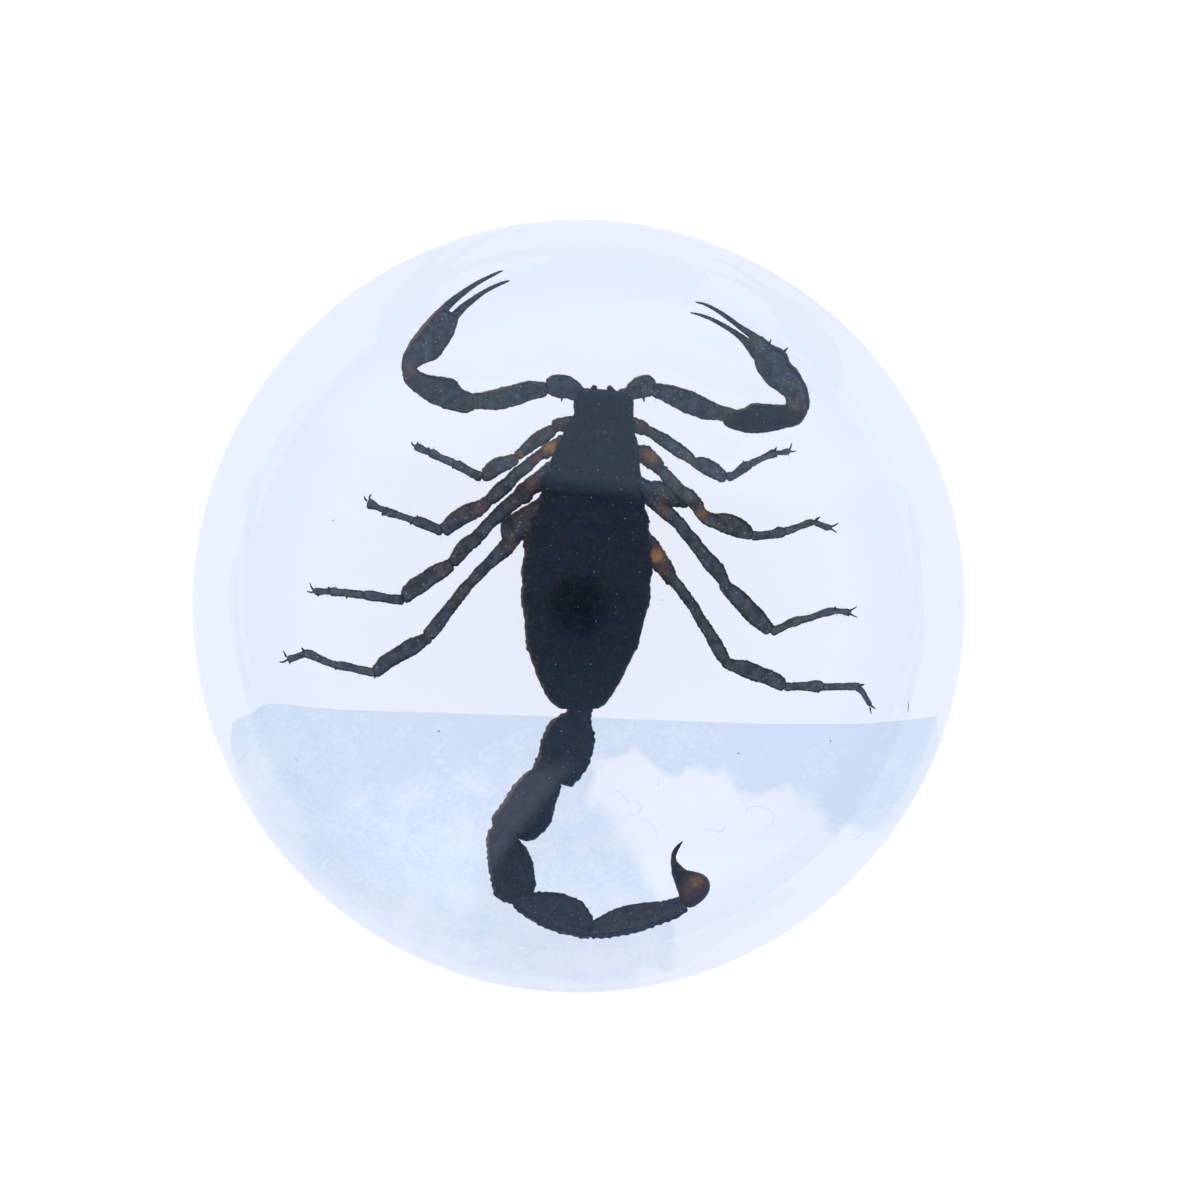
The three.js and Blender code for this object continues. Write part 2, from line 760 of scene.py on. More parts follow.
@dataclass(frozen=True)
class DarkCuticle:
    """The scorpion's hard skin: blue-black with brown clouds and pale specks painted on as glints
    of its granules, brown along the edges that face the head, and amber where it is thin."""

    name: str = "dark_cuticle"
    deep: Colour = (0.0085, 0.0112, 0.0155)
    blue: Colour = (0.0125, 0.0190, 0.0265)
    brown: Colour = (0.0300, 0.0210, 0.0150)
    pale: Colour = (0.0360, 0.0400, 0.0460)
    amber: Colour = (0.95, 0.46, 0.13)
    rust: Colour = (0.54, 0.16, 0.06)
    worn: Colour = (0.31, 0.24, 0.175)
    worn_blue: Colour = (0.265, 0.25, 0.245)
    # Painted highlight: pale specks that stand for glints of the granules.
    fleck_glint: Colour = (0.46, 0.44, 0.41)
    # Painted highlight: pale stipples that stand for glints of the granule tops.
    stipple_glint: Colour = (0.62, 0.60, 0.55)
    warm_edge: Colour = (0.23, 0.12, 0.045)
    cold_edge: Colour = (0.012, 0.026, 0.085)
    roughness: Pair = (0.42, 0.68)
    refractive_index: float = 1.18
    light_reach: Colour = (3.2, 1.4, 0.4)  # millimetres into the amber parts

    def material(self) -> Material:
        """Dark ground, blue, brown and pale clouds, tinted edges, worn level parts, rare pale specks
        and pale stipples painted on as glints of the granules, amber patches that let light through,
        and a grainy bump.

        Returns:
            The material.
        """
        canvas = Canvas(self.name)
        clouds, grain = canvas.noise(1.5, 4.0), canvas.noise(0.34)
        ground = canvas.blend(canvas.spread(clouds, 0.38, 0.62), self.deep, self.blue)
        rusty = canvas.spread(canvas.noise(0.9, 3.0, 0.4), 0.50, 0.68, 0.0, 0.5)
        ground = canvas.blend(rusty, ground, self.brown)
        ground = canvas.blend(canvas.spread(grain, 0.52, 0.74, 0.0, 0.7), ground, self.pale)
        ragged = canvas.spread(grain, 0.3, 0.7, -0.12, 0.12)
        edge = canvas.maths("ADD", canvas.attribute("lean"), ragged)
        ground = canvas.blend(canvas.spread(edge, 0.40, 0.90), ground, self.warm_edge)
        ground = canvas.blend(canvas.spread(edge, -0.40, -0.90), ground, self.cold_edge)
        pale, patchy = canvas.attribute("pale"), canvas.spread(canvas.noise(0.7), 0.3, 0.7, 0.5, 1.3)
        hue = canvas.spread(canvas.noise(1.7, 3.0, 0.3), 0.42, 0.58)
        worn = canvas.blend(hue, self.worn_blue, self.worn)
        ground = canvas.blend(canvas.times(pale, patchy), ground, worn)
        # Painted highlight: rare pale specks as glints of the granules.
        near, drawn = canvas.cells(0.5)
        fleck_glints = canvas.times(canvas.spread(near, 0.12, 0.05), canvas.spread(drawn, 0.56, 0.66))
        ground = canvas.blend(fleck_glints, ground, self.fleck_glint)
        # Painted highlight: pale stipples as glints of the granule tops, strongest where the skin is worn
        # pale.
        near, drawn = canvas.cells(0.34)
        stipple_glints = canvas.times(canvas.spread(near, 0.24, 0.10), canvas.spread(drawn, 0.42, 0.52))
        stipple_glints = canvas.times(stipple_glints, canvas.spread(pale, 0.0, 0.35, 0.03, 0.65))
        ground = canvas.blend(stipple_glints, ground, self.stipple_glint)
        amber = canvas.attribute("amber")
        mottle = canvas.spread(canvas.noise(0.8, 2.0), 0.35, 0.65, -0.15, 0.25)
        golden = canvas.maths("ADD", canvas.spread(amber, 0.25, 0.85), mottle)
        skin = canvas.blend(golden, self.rust, self.amber)
        inner = canvas.spread(canvas.attribute("level"), 0.15, 0.60, 0.45, 1.0)
        blotchy = canvas.spread(canvas.noise(0.45), 0.35, 0.65, 0.7, 1.25)
        patch = canvas.times(amber, inner, blotchy)
        canvas.set(Base_Color=canvas.blend(patch, ground, skin), Subsurface_Weight=patch)
        canvas.set(Subsurface_Radius=self.light_reach, Subsurface_Scale=MM)
        canvas.set(Roughness=canvas.spread(clouds, 0.3, 0.7, *self.roughness))
        canvas.set(IOR=self.refractive_index)
        canvas.bump(grain, 0.03)
        return canvas.material


@dataclass(frozen=True)
class HazySeam:
    """The seam between the two pours: a see-through sheet, mottled and faintly blue."""

    clear: Colour = (1.0, 1.0, 1.0)
    hazy: Colour = (0.765, 0.846, 0.928)

    def material(self) -> Material:
        """A filter whose colour deepens with the sheet's own haze and with two noises.

        Returns:
            The material.
        """
        canvas = Canvas("hazy_seam")
        clouds = canvas.spread(canvas.noise(2.6, 4.0, 0.5), 0.28, 0.72, 0.71, 1.12)
        fine = canvas.spread(canvas.noise(0.32), 0.3, 0.7, 0.80, 1.18)
        haze = canvas.times(clouds, fine, canvas.attribute("haze"))
        canvas.set(Base_Color=canvas.blend(haze, self.clear, self.hazy))
        canvas.set(Roughness=0.0, IOR=1.02, Transmission_Weight=1.0)
        return canvas.material


@dataclass(frozen=True)
class TwoTone:
    """A plain finish that goes from one colour to another in small clouds."""

    name: str
    first: Colour
    second: Colour
    cloud_size: float
    cloud_edges: Pair
    roughness: float
    refractive_index: float

    def material(self) -> Material:
        """Noise that mixes the two colours.

        Returns:
            The material.
        """
        canvas = Canvas(self.name)
        share = canvas.spread(canvas.noise(self.cloud_size, 2.0), *self.cloud_edges)
        canvas.set(Base_Color=canvas.blend(share, self.first, self.second))
        canvas.set(Roughness=self.roughness, IOR=self.refractive_index)
        return canvas.material


# Grey lint and grit that fell in before the second pour, and the polished lenses of the eyes.
DUST = TwoTone("trapped_dust", (0.10, 0.10, 0.11), (0.42, 0.44, 0.47), 0.25, (0.35, 0.65), 0.85, 1.3)
EYES = TwoTone("eye_gloss", (0.008, 0.008, 0.01), (0.03, 0.025, 0.02), 0.2, (0.4, 0.6), 0.08, 1.5)


# ---- The block ----


@dataclass
class ResinBlock:
    """The cast block: flat base, short wall, rounded shoulder and domed top."""

    radius: float
    height: float
    dome_rise: float = 15.0
    shoulder: float = 2.0
    base_edge: float = 0.8
    finish: ClearResin = field(default_factory=ClearResin)

    @classmethod
    def from_frame(cls) -> "ResinBlock":
        """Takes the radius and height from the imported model."""
        low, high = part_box(BLOCK_NODE)
        return cls(radius=(high[0] - low[0]) / 2.0 / MM, height=(high[2] - low[2]) / MM)

    @property
    def dome_radius(self) -> float:
        """Radius of the sphere with that rise over that half width: r squared plus rise
        squared, over twice the rise."""
        return (self.radius**2 + self.dome_rise**2) / (2.0 * self.dome_rise)

    @property
    def dome_centre(self) -> float:
        """Height of the sphere's middle, below the base."""
        return self.height - self.dome_radius

    @property
    def shoulder_angle(self) -> float:
        """Angle above level at which the dome meets the shoulder."""
        return math.acos((self.radius - self.shoulder) / (self.dome_radius - self.shoulder))

    @property
    def rim_height(self) -> float:
        """Height of the top of the upright wall."""
        reach = self.dome_radius - self.shoulder
        return self.dome_centre + reach * math.sin(self.shoulder_angle)

    def profile(self) -> tuple[Array, Array]:
        """The half section from the base's middle to the crown.

        Straight lines join three arcs: a point of an arc is its middle plus its radius times
        the cosine and sine of the angle, and its normal is that cosine and sine.

        Returns:
            Rows of radius and height, and rows of the outward normal.
        """
        edge, turned = self.base_edge, math.degrees(self.shoulder_angle)
        arcs = (
            (self.radius - edge, edge, edge, -90.0, 0.0, 14),
            (self.radius - self.shoulder, self.rim_height, self.shoulder, 0.0, turned, 18),
            (0.0, self.dome_centre, self.dome_radius, turned, 90.0, 90),
        )
        flat = np.linspace(0.0, self.radius - edge, 12)[1:-1]
        places = [np.stack([flat, 0.0 * flat], axis=-1)]
        normals = [np.tile([0.0, -1.0], (len(flat), 1))]
        for middle_r, middle_z, radius, start, end, count in arcs:
            angle = np.radians(np.linspace(start, end, count))
            facing = np.stack([np.cos(angle), np.sin(angle)], axis=-1)
            places.append(np.array([middle_r, middle_z]) + radius * facing)
            normals.append(facing)
        return np.concatenate(places)[:-1], np.concatenate(normals)[:-1]

    def build(self, turns: int = 288) -> bpy.types.Object:
        """Turns the half section round +Z and gives every point its exact normal.

        A point at angle a is the profile's radius times the cosine and sine of a, at the
        profile's height.

        Args:
            turns: How many steps go round the block.

        Returns:
            The block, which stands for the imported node.
        """
        places, facing = self.profile()
        turn = np.linspace(0.0, 2.0 * np.pi, turns, endpoint=False)
        circle = np.stack([np.cos(turn), np.sin(turn)], axis=-1)

        def spun(rows: Array) -> Array:
            """Carries radius and height rows round the axis.

            Args:
                rows: Radius and height.

            Returns:
                Rows by turns by three.
            """
            flat = rows[:, None, :1] * circle[None]
            tall = np.broadcast_to(rows[:, None, 1:], flat.shape[:2] + (1,))
            return np.concatenate([flat, tall], axis=-1)

        shell = tube_shell(np.zeros(3), spun(places), UP * self.height)
        piece = make_piece("clear_block", [shell], self.finish.material(), Slot.RESIN)
        normals = np.concatenate([[-UP], spun(facing).reshape(-1, 3), [UP]])
        piece.data.normals_split_custom_set_from_vertices(normals)
        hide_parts(BLOCK_NODE)
        return piece


def both_edges(middle: Array, half: Array) -> tuple[Array, Array]:
    """The edges of a path in plan: each place plus and minus the half width, square to the
    travel.

    Args:
        middle: Rows of x and y.
        half: Half width at each row.

    Returns:
        The left edge and the right edge.
    """
    travel = unit(np.gradient(middle, axis=0))
    across = np.stack([-travel[:, 1], travel[:, 0]], axis=-1) * half[:, None]
    return middle + across, middle - across


@dataclass(frozen=True)
class DomeLens:
    """Works out where a sealed thing truly is from where it is seen through the dome."""

    block: ResinBlock
    eye: tuple[float, float, float]
    refractive_index: float
    step: float  # millimetres at the rim's height for one step of the picture

    def seen(self, picture: Array) -> Array:
        """Turns places in the camera's picture into x and y as seen, at the rim's height.

        Args:
            picture: Rows of steps right and down from the picture's top left corner.

        Returns:
            Rows of x and y in millimetres.
        """
        from_middle = (picture + STEP_MIDDLE - 0.5 * PICTURE_STEPS) * self.step
        return np.array(self.eye[:2]) + from_middle * np.array([1.0, -1.0])

    def true_place(self, seen: Array, height: Array | float) -> Array:
        """Follows the line of sight down into the resin.

        The line from the eye through the seen point meets the dome's sphere where its distance
        from the sphere's middle is the radius. There Snell's law bends it: the new direction
        is the old one over the refractive index, plus the normal times the outer cosine over
        that index less the inner cosine. It then runs straight on to the given height.

        Args:
            seen: Rows of x and y as seen, at the rim's height.
            height: True height above the base.

        Returns:
            Rows of true x, y and z.
        """
        eye = np.array(self.eye)
        rim = np.full(seen.shape[:-1] + (1,), self.block.rim_height)
        sight = unit(np.concatenate([seen, rim], axis=-1) - eye)
        from_middle = eye - UP * self.block.dome_centre
        half = sight @ from_middle
        beyond = from_middle @ from_middle - self.block.dome_radius**2
        reach = -half - np.sqrt(half**2 - beyond)
        entry = eye + sight * reach[..., None]
        normal = unit(entry - UP * self.block.dome_centre)
        share = 1.0 / self.refractive_index
        outside = -np.sum(normal * sight, axis=-1)
        inside = np.sqrt(1.0 - share**2 * (1.0 - outside**2))
        bent = share * sight + (share * outside - inside)[..., None] * normal
        drop = (height - entry[..., 2]) / bent[..., 2]
        return entry + bent * drop[..., None]

    def spot(self, x: float, y: float, height: float) -> Array:
        """The true place of one thing seen at x and y."""
        return self.true_place(np.array([x, y]), height)

    def true_route(self, seen: Rows, height: Array) -> Array:
        """Turns a seen route into a true one by following both of its edges.

        Args:
            seen: Rows of x, y and half width, as seen.
            height: True height of each row.

        Returns:
            Rows of true x, y, z and half width.
        """
        rows = np.asarray(seen, float)
        edges = both_edges(rows[:, :2], rows[:, 2])
        left, right = (self.true_place(edge, height) for edge in edges)
        half = np.linalg.norm(left - right, axis=1) / 2.0
        return np.column_stack([(left + right) / 2.0, half])

    def limb(self, seen: Rows, heights: Pair, flatness: float) -> Array:
        """A full route for sweep, from a seen one.

        Args:
            seen: Rows of x, y and half width, as seen.
            heights: True height of the path at its start and end, evenly between.
            flatness: Height above and below the path over the half width.

        Returns:
            Rows of true x, y, z, half width, height above and height below.
        """
        route = self.true_route(seen, np.linspace(*heights, len(seen)))
        tall = flatness * route[:, 3]
        return np.column_stack([route, tall, tall])

    def track(self, picture: Rows, heights: Pair, flatness: float, trim: float = 0.0) -> Array:
        """A full route for sweep, from an outline in the camera's picture.

        Args:
            picture: Rows of x, y and half width, or of x and y of both edges, in steps.
            heights: True height of the path at its start and end, evenly between.
            flatness: Height above and below the path over the half width.
            trim: What is taken off the half width to leave room for the skin's relief.

        Returns:
            Rows of true x, y, z, half width, height above, height below, and x and y of left.
        """
        rows = np.asarray(picture, float)
        if rows.shape[1] == 3:
            edges = both_edges(self.seen(rows[:, :2]), rows[:, 2] * self.step)
        else:
            edges = (self.seen(rows[:, :2]), self.seen(rows[:, 2:]))
        level = np.linspace(*heights, len(rows))
        first, second = (self.true_place(edge, level) for edge in edges)
        centre, chord = (first + second) / 2.0, (first - second)[:, :2]
        along = np.gradient(centre, axis=0)
        turned = np.sum(along[:, 0] * chord[:, 1] - along[:, 1] * chord[:, 0])
        half = np.maximum(np.linalg.norm(chord, axis=1) / 2.0 - trim, THINNEST)
        tall = flatness * half
        return np.column_stack([centre, half, tall, tall, unit(chord) * np.sign(turned)])


# ---- The scorpion ----


class Side(Enum):
    """The specimen's two sides, as seen from above with its head away from the viewer."""

    LEFT = "left"
    RIGHT = "right"


@dataclass
class Specimen:
    """What every part of the scorpion shares: the lens and the finishes."""

    lens: DomeLens
    cuticle: Material
    skin: Material
    gloss: Material

    def hard(self, name: str, *shells: Shell) -> None:
        """Makes one piece of the hard skin."""
        make_piece(name, shells, self.cuticle, Slot.CUTICLE)

    def hairs(self, shells: list[Shell], count: int, length: float, seed: int) -> Shell:
        """Scatters bristles over some surfaces.

        Each stands on a random point and points away from the surface's middle line, with a
        random lean.

        Args:
            shells: Where the hairs grow.
            count: How many on each surface.
            length: Their usual length.
            seed: Makes the draw repeatable.

        Returns:
            The hairs.
        """
        draw = np.random.default_rng(seed)
        roots, ways = [], []
        for shell in shells:
            chosen = shell.points[draw.integers(0, len(shell.points), count)]
            along = shell.points[-1] - shell.points[0]
            share = np.clip((chosen - shell.points[0]) @ along / (along @ along), 0.0, 1.0)
            near = shell.points[0] + share[:, None] * along
            roots.append(chosen)
            ways.append(unit(unit(chosen - near) + 0.45 * draw.normal(size=chosen.shape)))
        places, directions = np.concatenate(roots), np.concatenate(ways)
        sizes = length * draw.uniform(0.5, 1.2, len(places))
        return bristles(places - 0.02 * directions, directions, sizes, 0.014)

    def thorns(self, picture: Rows, height: float) -> list[Shell]:
        """Short spines at the joints.

        Args:
            picture: Rows of the root's x and y and the tip's x and y, in picture steps.
            height: True height of the spines.

        Returns:
            One small sweep for each spine.
        """
        shells = []
        for x0, y0, x1, y1 in picture:
            rows = ((x0, y0, 1.5), (0.5 * (x0 + x1), 0.5 * (y0 + y1), 1.1), (x1, y1, 0.4))
            route = self.lens.track(rows, (height, height), 1.0)
            shells.append(sweep(route, Skin(2.0), 10, 8, (0.05, 0.05)))
        return shells

    def spots(self, picture: Rows, height: float) -> Rows:
        """Turns spots given in the picture into spots for Shell.spotted.

        Args:
            picture: Rows of x, y, size in picture steps, and strength.
            height: True height of the spots.

        Returns:
            Rows of true x and y, size in millimetres, and strength.
        """
        rows = np.asarray(picture, float).reshape(-1, 4)
        place = self.lens.true_place(self.lens.seen(rows[:, :2]), height)
        sizes = rows[:, 2] * self.lens.step
        return tuple(map(tuple, np.column_stack([place[:, :2], sizes, rows[:, 3]])))


@dataclass
class Trunk:
    """Head shield, back plates, belly plates, side skin, eyes, jaws and combs. Outlines are
    rows of x, y and half width in millimetres, as seen."""

    kit: Specimen
    shield: Rows = (
        (2.1, 17.66, 2.25), (2.05, 17, 2.4), (2, 15.3, 2.45), (1.8, 14.1, 2.9), (1.55, 12.3, 3.42),
        (1.3, 10.8, 3.9), (1.1, 9.5, 4.25), (1.05, 8.9, 4.3),
    )
    outline: Rows = (
        (1.1, 9.8, 4.15), (1, 8.2, 4.45), (0.85, 6.9, 4.9), (0.72, 5.2, 5.15), (0.67, 3.3, 5.29),
        (0.58, 1.3, 5.3), (0.51, -0.3, 5.14), (0.38, -2, 4.77), (0.2, -4.1, 4.25), (0.07, -6.3, 3.22),
        (0.02, -8, 2.04), (0.05, -8.6, 1.36),
    )
    plate_edges: tuple[float, ...] = (9.35, 8.25, 6.70, 4.65, 2.35, -0.25, -3.85, -8.35)
    middle_height: float = 7.5
    back_rise: tuple[float, float, float] = (1.9, 2.35, 1.25)  # front, widest, tail end
    belly_drop: tuple[float, float, float] = (1.2, 1.5, 1.0)
    plate_thickness: float = 0.22
    # The hand and the fixed and moving finger of each jaw, in picture steps.
    left_jaw: tuple[Rows, ...] = (
        ((593.5, 405.5, 7.6), (593, 396, 8), (593.5, 391, 5.6)),
        ((591, 395, 3.6), (592.2, 391, 3.3), (593.8, 387.8, 3), (594.8, 385.3, 2.3)),
        ((598.5, 395, 3.2), (598.3, 391.5, 2.6), (597.6, 389, 1.7)),
    )
    right_jaw: tuple[Rows, ...] = (
        ((612, 405.5, 7.6), (612.5, 396.5, 8.2), (612.5, 391.5, 6)),
        ((614.5, 395.5, 3.6), (612.5, 391.8, 3.3), (609.8, 388.6, 3), (608, 386, 2.3)),
        ((605.5, 395, 3.2), (605.3, 391.5, 2.6), (605, 389.3, 1.7)),
    )
    jaw_heights: tuple[Pair, ...] = ((7.9, 7.8), (7.9, 7.6), (7.3, 7.2))
    # The middle of each group of eyes, x and y as seen and the true height, and their radii.
    mound: tuple[float, float, float] = (1.85, 14.15, 9.65)
    eye_gap: float = 0.27  # from the mound's middle line
    eye_radius: float = 0.19
    corner: tuple[float, float, float] = (2.05, 16.95, 8.15)
    corner_gap: float = 2.02
    corner_radius: float = 0.13
    slit_radii: tuple[float, float, float] = (0.42, 0.13, 0.07)
    slit_place: float = 0.52  # as a part of the half width
    # Breastplate, lid and comb as seen, the last two from the body's middle line outwards, and
    # how far each lies below the trunk's middle.
    breast: Rows = ((1.7, 11.9, 0.3), (1.55, 11, 0.75), (1.5, 10.4, 0.85))
    lid: Rows = ((0.15, 9.95, 0.36), (0.75, 9.85, 0.4), (1.3, 9.8, 0.26))
    lid_middle: float = 1.45
    breast_drop: float = 1.15
    comb_arm: Rows = ((0.5, 9.1, 0.3), (1.6, 8.6, 0.34), (2.8, 7.6, 0.3), (3.7, 6.3, 0.18))
    comb_middle: float = 1.2
    comb_drop: float = 1.55
    peg_reach: float = 0.62  # of a comb's peg beyond the arm's edge

    def form(self, seen_y: Array) -> tuple[Array, Array, Array, Array, Array]:
        """The trunk's true section at some seen places along it.

        The seen outline is smoothed and read off at seen_y, and its edges are then followed
        through the dome.

        Args:
            seen_y: Places along the trunk, as seen.

        Returns:
            True middle x, true y, half width, rise of the back and drop of the belly.
        """
        rows = np.asarray(self.outline, float)
        padded = np.insert(rows, 2, 0.0, axis=1)
        curve, _ = smooth_rows(padded, 200, 0.0)
        order = np.argsort(curve[:, 1])
        middle = np.interp(seen_y, curve[order, 1], curve[order, 0])
        half = np.interp(seen_y, curve[order, 1], curve[order, 3])
        seen = tuple(zip(middle, seen_y, half))
        true = self.kit.lens.true_route(seen, np.full(len(seen_y), self.middle_height))
        stops = (-8.4, 3.0, 9.8)
        rise = np.interp(seen_y, stops, self.back_rise[::-1])
        drop = np.interp(seen_y, stops, self.belly_drop[::-1])
        return true[:, 0], true[:, 1], true[:, 3], rise, drop

    def plate(self, front: float, end: float, back: bool, seed: float) -> Shell:
        """One curved plate, tucked under the plate before it and lifted at its hind edge.

        Across the trunk a point at angle a is the half width times the cosine of a to the
        power 0.8, and the rise times the sine of a to that power. The inner face is smaller by
        the plate's thickness. Both sizes grow from front to hind edge.

        Args:
            front: Seen place of the front edge.
            end: Seen place of the hind edge.
            back: True for a back plate, False for a belly plate.
            seed: Sets its grains apart.

        Returns:
            The closed plate.
        """
        loops, across = 34, 71
        share = np.linspace(0.0, 1.0, loops)
        seen_y = front + 0.25 + (end - front - 0.25) * share
        x, y, half, rise, drop = self.form(seen_y)
        tall = rise if back else drop
        width = half if back else 0.9 * half
        sign = 1.0 if back else -1.0
        lift = -0.07 + 0.11 * share
        hem = 0.13 * ramp(share, 0.90, 1.0) ** 2
        turn = np.linspace(0.0, np.pi, across)
        level = np.sign(np.cos(turn)) * np.abs(np.cos(turn)) ** 0.8
        upright = np.sin(turn) ** 0.8

        def arch(inset: Array) -> Array:
            """The arch of every loop, set in by some millimetres.

            Args:
                inset: How far each loop is set in.

            Returns:
                Loops by points by three.
            """
            grow = (lift - inset)[:, None]
            place_x = x[:, None] + (width[:, None] + grow) * level
            place_z = self.middle_height + sign * (tall[:, None] + grow) * upright
            place_y = np.broadcast_to(y[:, None], place_x.shape)
            return np.stack([place_x, place_y, place_z], axis=-1)

        outer = arch(hem)
        inner = arch(hem + self.plate_thickness)
        towards = unit(outer - inner)
        middle = np.cos(turn)[None, :]
        bumps = 0.09 * grains(outer, 0.45, seed) * ramp(share, 0.2, 0.9)[:, None]
        furrow = -0.07 * bell(share[:, None] - 0.3, 0.06) * np.ones_like(middle)
        ridge = (0.12 if back else 0.0) * bell(middle, 0.035) * ramp(share, 0.2, 0.7)[:, None]
        keels = 0.07 * (bell(middle - 0.42, 0.03) + bell(middle + 0.42, 0.03))
        keels = keels * ramp(share, 0.35, 0.8)[:, None] * (1.0 if back else 0.35)
        raised = outer + towards * (bumps + furrow + ridge + keels)[..., None]
        plate = band_shell(np.concatenate([raised, inner[:, ::-1]], axis=1))
        lean = (towards @ LEAN) * (1.0 - towards[..., 2] ** 2)
        plate.tones["lean"] = np.concatenate([lean, lean[:, ::-1]], axis=1).ravel()
        return plate

    @staticmethod
    def shield_relief(share: Array, angle: Array) -> Array:
        """Furrows and ridges of the head shield.

        A groove along the middle, an eye mound with a ridge on each side, two hind ridges, a
        slanting side furrow and a dip in front, each a bell or a product of bells and ramps.

        Args:
            share: Place from the front edge, 0, to the hind edge, 1.
            angle: Angle from the middle of the back, in radians.

        Returns:
            Heights in millimetres.
        """
        width = np.abs(angle)
        groove = -0.16 * bell(angle, 0.07) * ramp(share, 0.05, 0.15)
        mound = 0.34 * bell(share - 0.40, 0.09) * bell(angle, 0.24)
        brows = 0.15 * bell(width - 0.26, 0.06) * ramp(share, 0.04, 0.12) * ramp(share, 0.62, 0.5)
        hind = 0.13 * bell(width - 0.30, 0.06) * ramp(share, 0.60, 0.72)
        side_line = -0.14 * bell(share - 0.62 - 0.12 * width, 0.035) * ramp(width, 0.3, 0.5)
        front_dip = -0.10 * bell(share - 0.24, 0.05) * bell(width - 0.75, 0.3)
        return groove + mound + brows + hind + side_line + front_dip

    def head_shield(self) -> Shell:
        """The domed shield over the head, wider behind, swept from front to back.

        Returns:
            The shield.
        """
        rows = np.asarray(self.shield)
        level = np.full(len(rows), self.middle_height + 0.1)
        route = self.kit.lens.true_route(self.shield, level)
        share = np.linspace(0.0, 1.0, len(rows))
        above = 1.25 + 0.75 * ramp(share, 0.0, 0.6)
        below = 0.55 + 0.0 * share
        route = np.column_stack([route, above, below])
        keels = (Keel(78.0, 0.05, 0.12, 0.35), Keel(-78.0, 0.05, 0.12, 0.35))
        skin = Skin(2.6, 90.0, keels, 0.06, 0.40, 0.03, relief=self.shield_relief)
        shield = sweep(route, skin, 96, 112, (0.35, 0.3), 11.0)
        shield.tones["lean"] *= 0.4
        return shield

    def eyes(self) -> list[Shell]:
        """Two median eyes on their mound and three small ones at each front corner.

        Returns:
            The eyes.
        """
        shells = []
        spot = self.kit.lens.spot
        mound, (x, y, height) = spot(*self.mound), self.corner
        for side in (-1.0, 1.0):
            away = np.array([side * self.eye_gap, 0.0, 0.0])
            shells.append(bead(mound + away, np.full(3, self.eye_radius)))
            for step in range(3):
                place = spot(x + side * (self.corner_gap + 0.06 * step), y - 0.34 * step, height)
                shells.append(bead(place, np.full(3, self.corner_radius - 0.015 * step)))
        return shells

    def jaws(self, side: Side) -> list[Shell]:
        """One jaw: a stout hand under the shield's front edge with two short fingers.

        Args:
            side: Which side of the body.

        Returns:
            The hand and its fingers.
        """
        hand, fixed, moving = self.left_jaw if side is Side.LEFT else self.right_jaw
        level, first, second = self.jaw_heights
        track = self.kit.lens.track
        skin = Skin(2.2, grain=0.03, spacing=0.3)
        return [
            sweep(track(hand, level, 0.95), skin, 30, 28, (0.5, 0.5), 21.0),
            sweep(track(fixed, first, 0.9), skin, 22, 16, (0.2, 0.04), 22.0),
            sweep(track(moving, second, 0.9), skin, 22, 16, (0.2, 0.04), 23.0),
        ]

    def side_skin(self) -> Shell:
        """The softer skin inside the plates: the trunk's section, drawn in a little.

        Returns:
            The closed surface.
        """
        seen_y = np.linspace(9.7, -8.3, 26)
        x, y, half, rise, drop = self.form(seen_y)
        level = np.full(len(x), self.middle_height)
        route = np.column_stack([x, y, level, half - 0.16, rise - 0.35, drop - 0.3])
        return sweep(route, Skin(2.3, waves=0.05), 70, 64, (0.5, 0.5), 31.0)

    def breathing_slits(self) -> list[Shell]:
        """Four pairs of narrow oval slits on the belly plates.

        Returns:
            The slits.
        """
        shells = []
        for row in range(2, 6):
            seen_y = 0.5 * (self.plate_edges[row] + self.plate_edges[row + 1])
            x, y, half, _, drop = self.form(np.array([seen_y, seen_y - 0.1]))
            for side in (-1.0, 1.0):
                away = side * self.slit_place * half[0]
                down = drop[0] * (1.0 - self.slit_place**2.5) ** 0.4 - 0.02
                place = np.array([x[0] + away, y[0], self.middle_height - down])
                shells.append(bead(place, np.array(self.slit_radii), 8, 18))
        return shells

    def breastplate(self) -> list[Shell]:
        """The small triangular breastplate and the two lids behind it.

        Returns:
            The three plates.
        """
        lens = self.kit.lens
        bottom = self.middle_height - self.breast_drop
        plate = lens.limb(self.breast, (bottom, bottom), 0.4)
        shells = [sweep(plate, Skin(2.6, grain=0.02), 24, 28, (0.3, 0.3), 41.0)]
        for side in (-1.0, 1.0):
            lid = tuple((self.lid_middle + side * x, y, half) for x, y, half in self.lid)
            route = lens.limb(lid, (bottom, bottom), 0.5)
            shells.append(sweep(route, Skin(2.4), 20, 20, (0.3, 0.3)))
        return shells

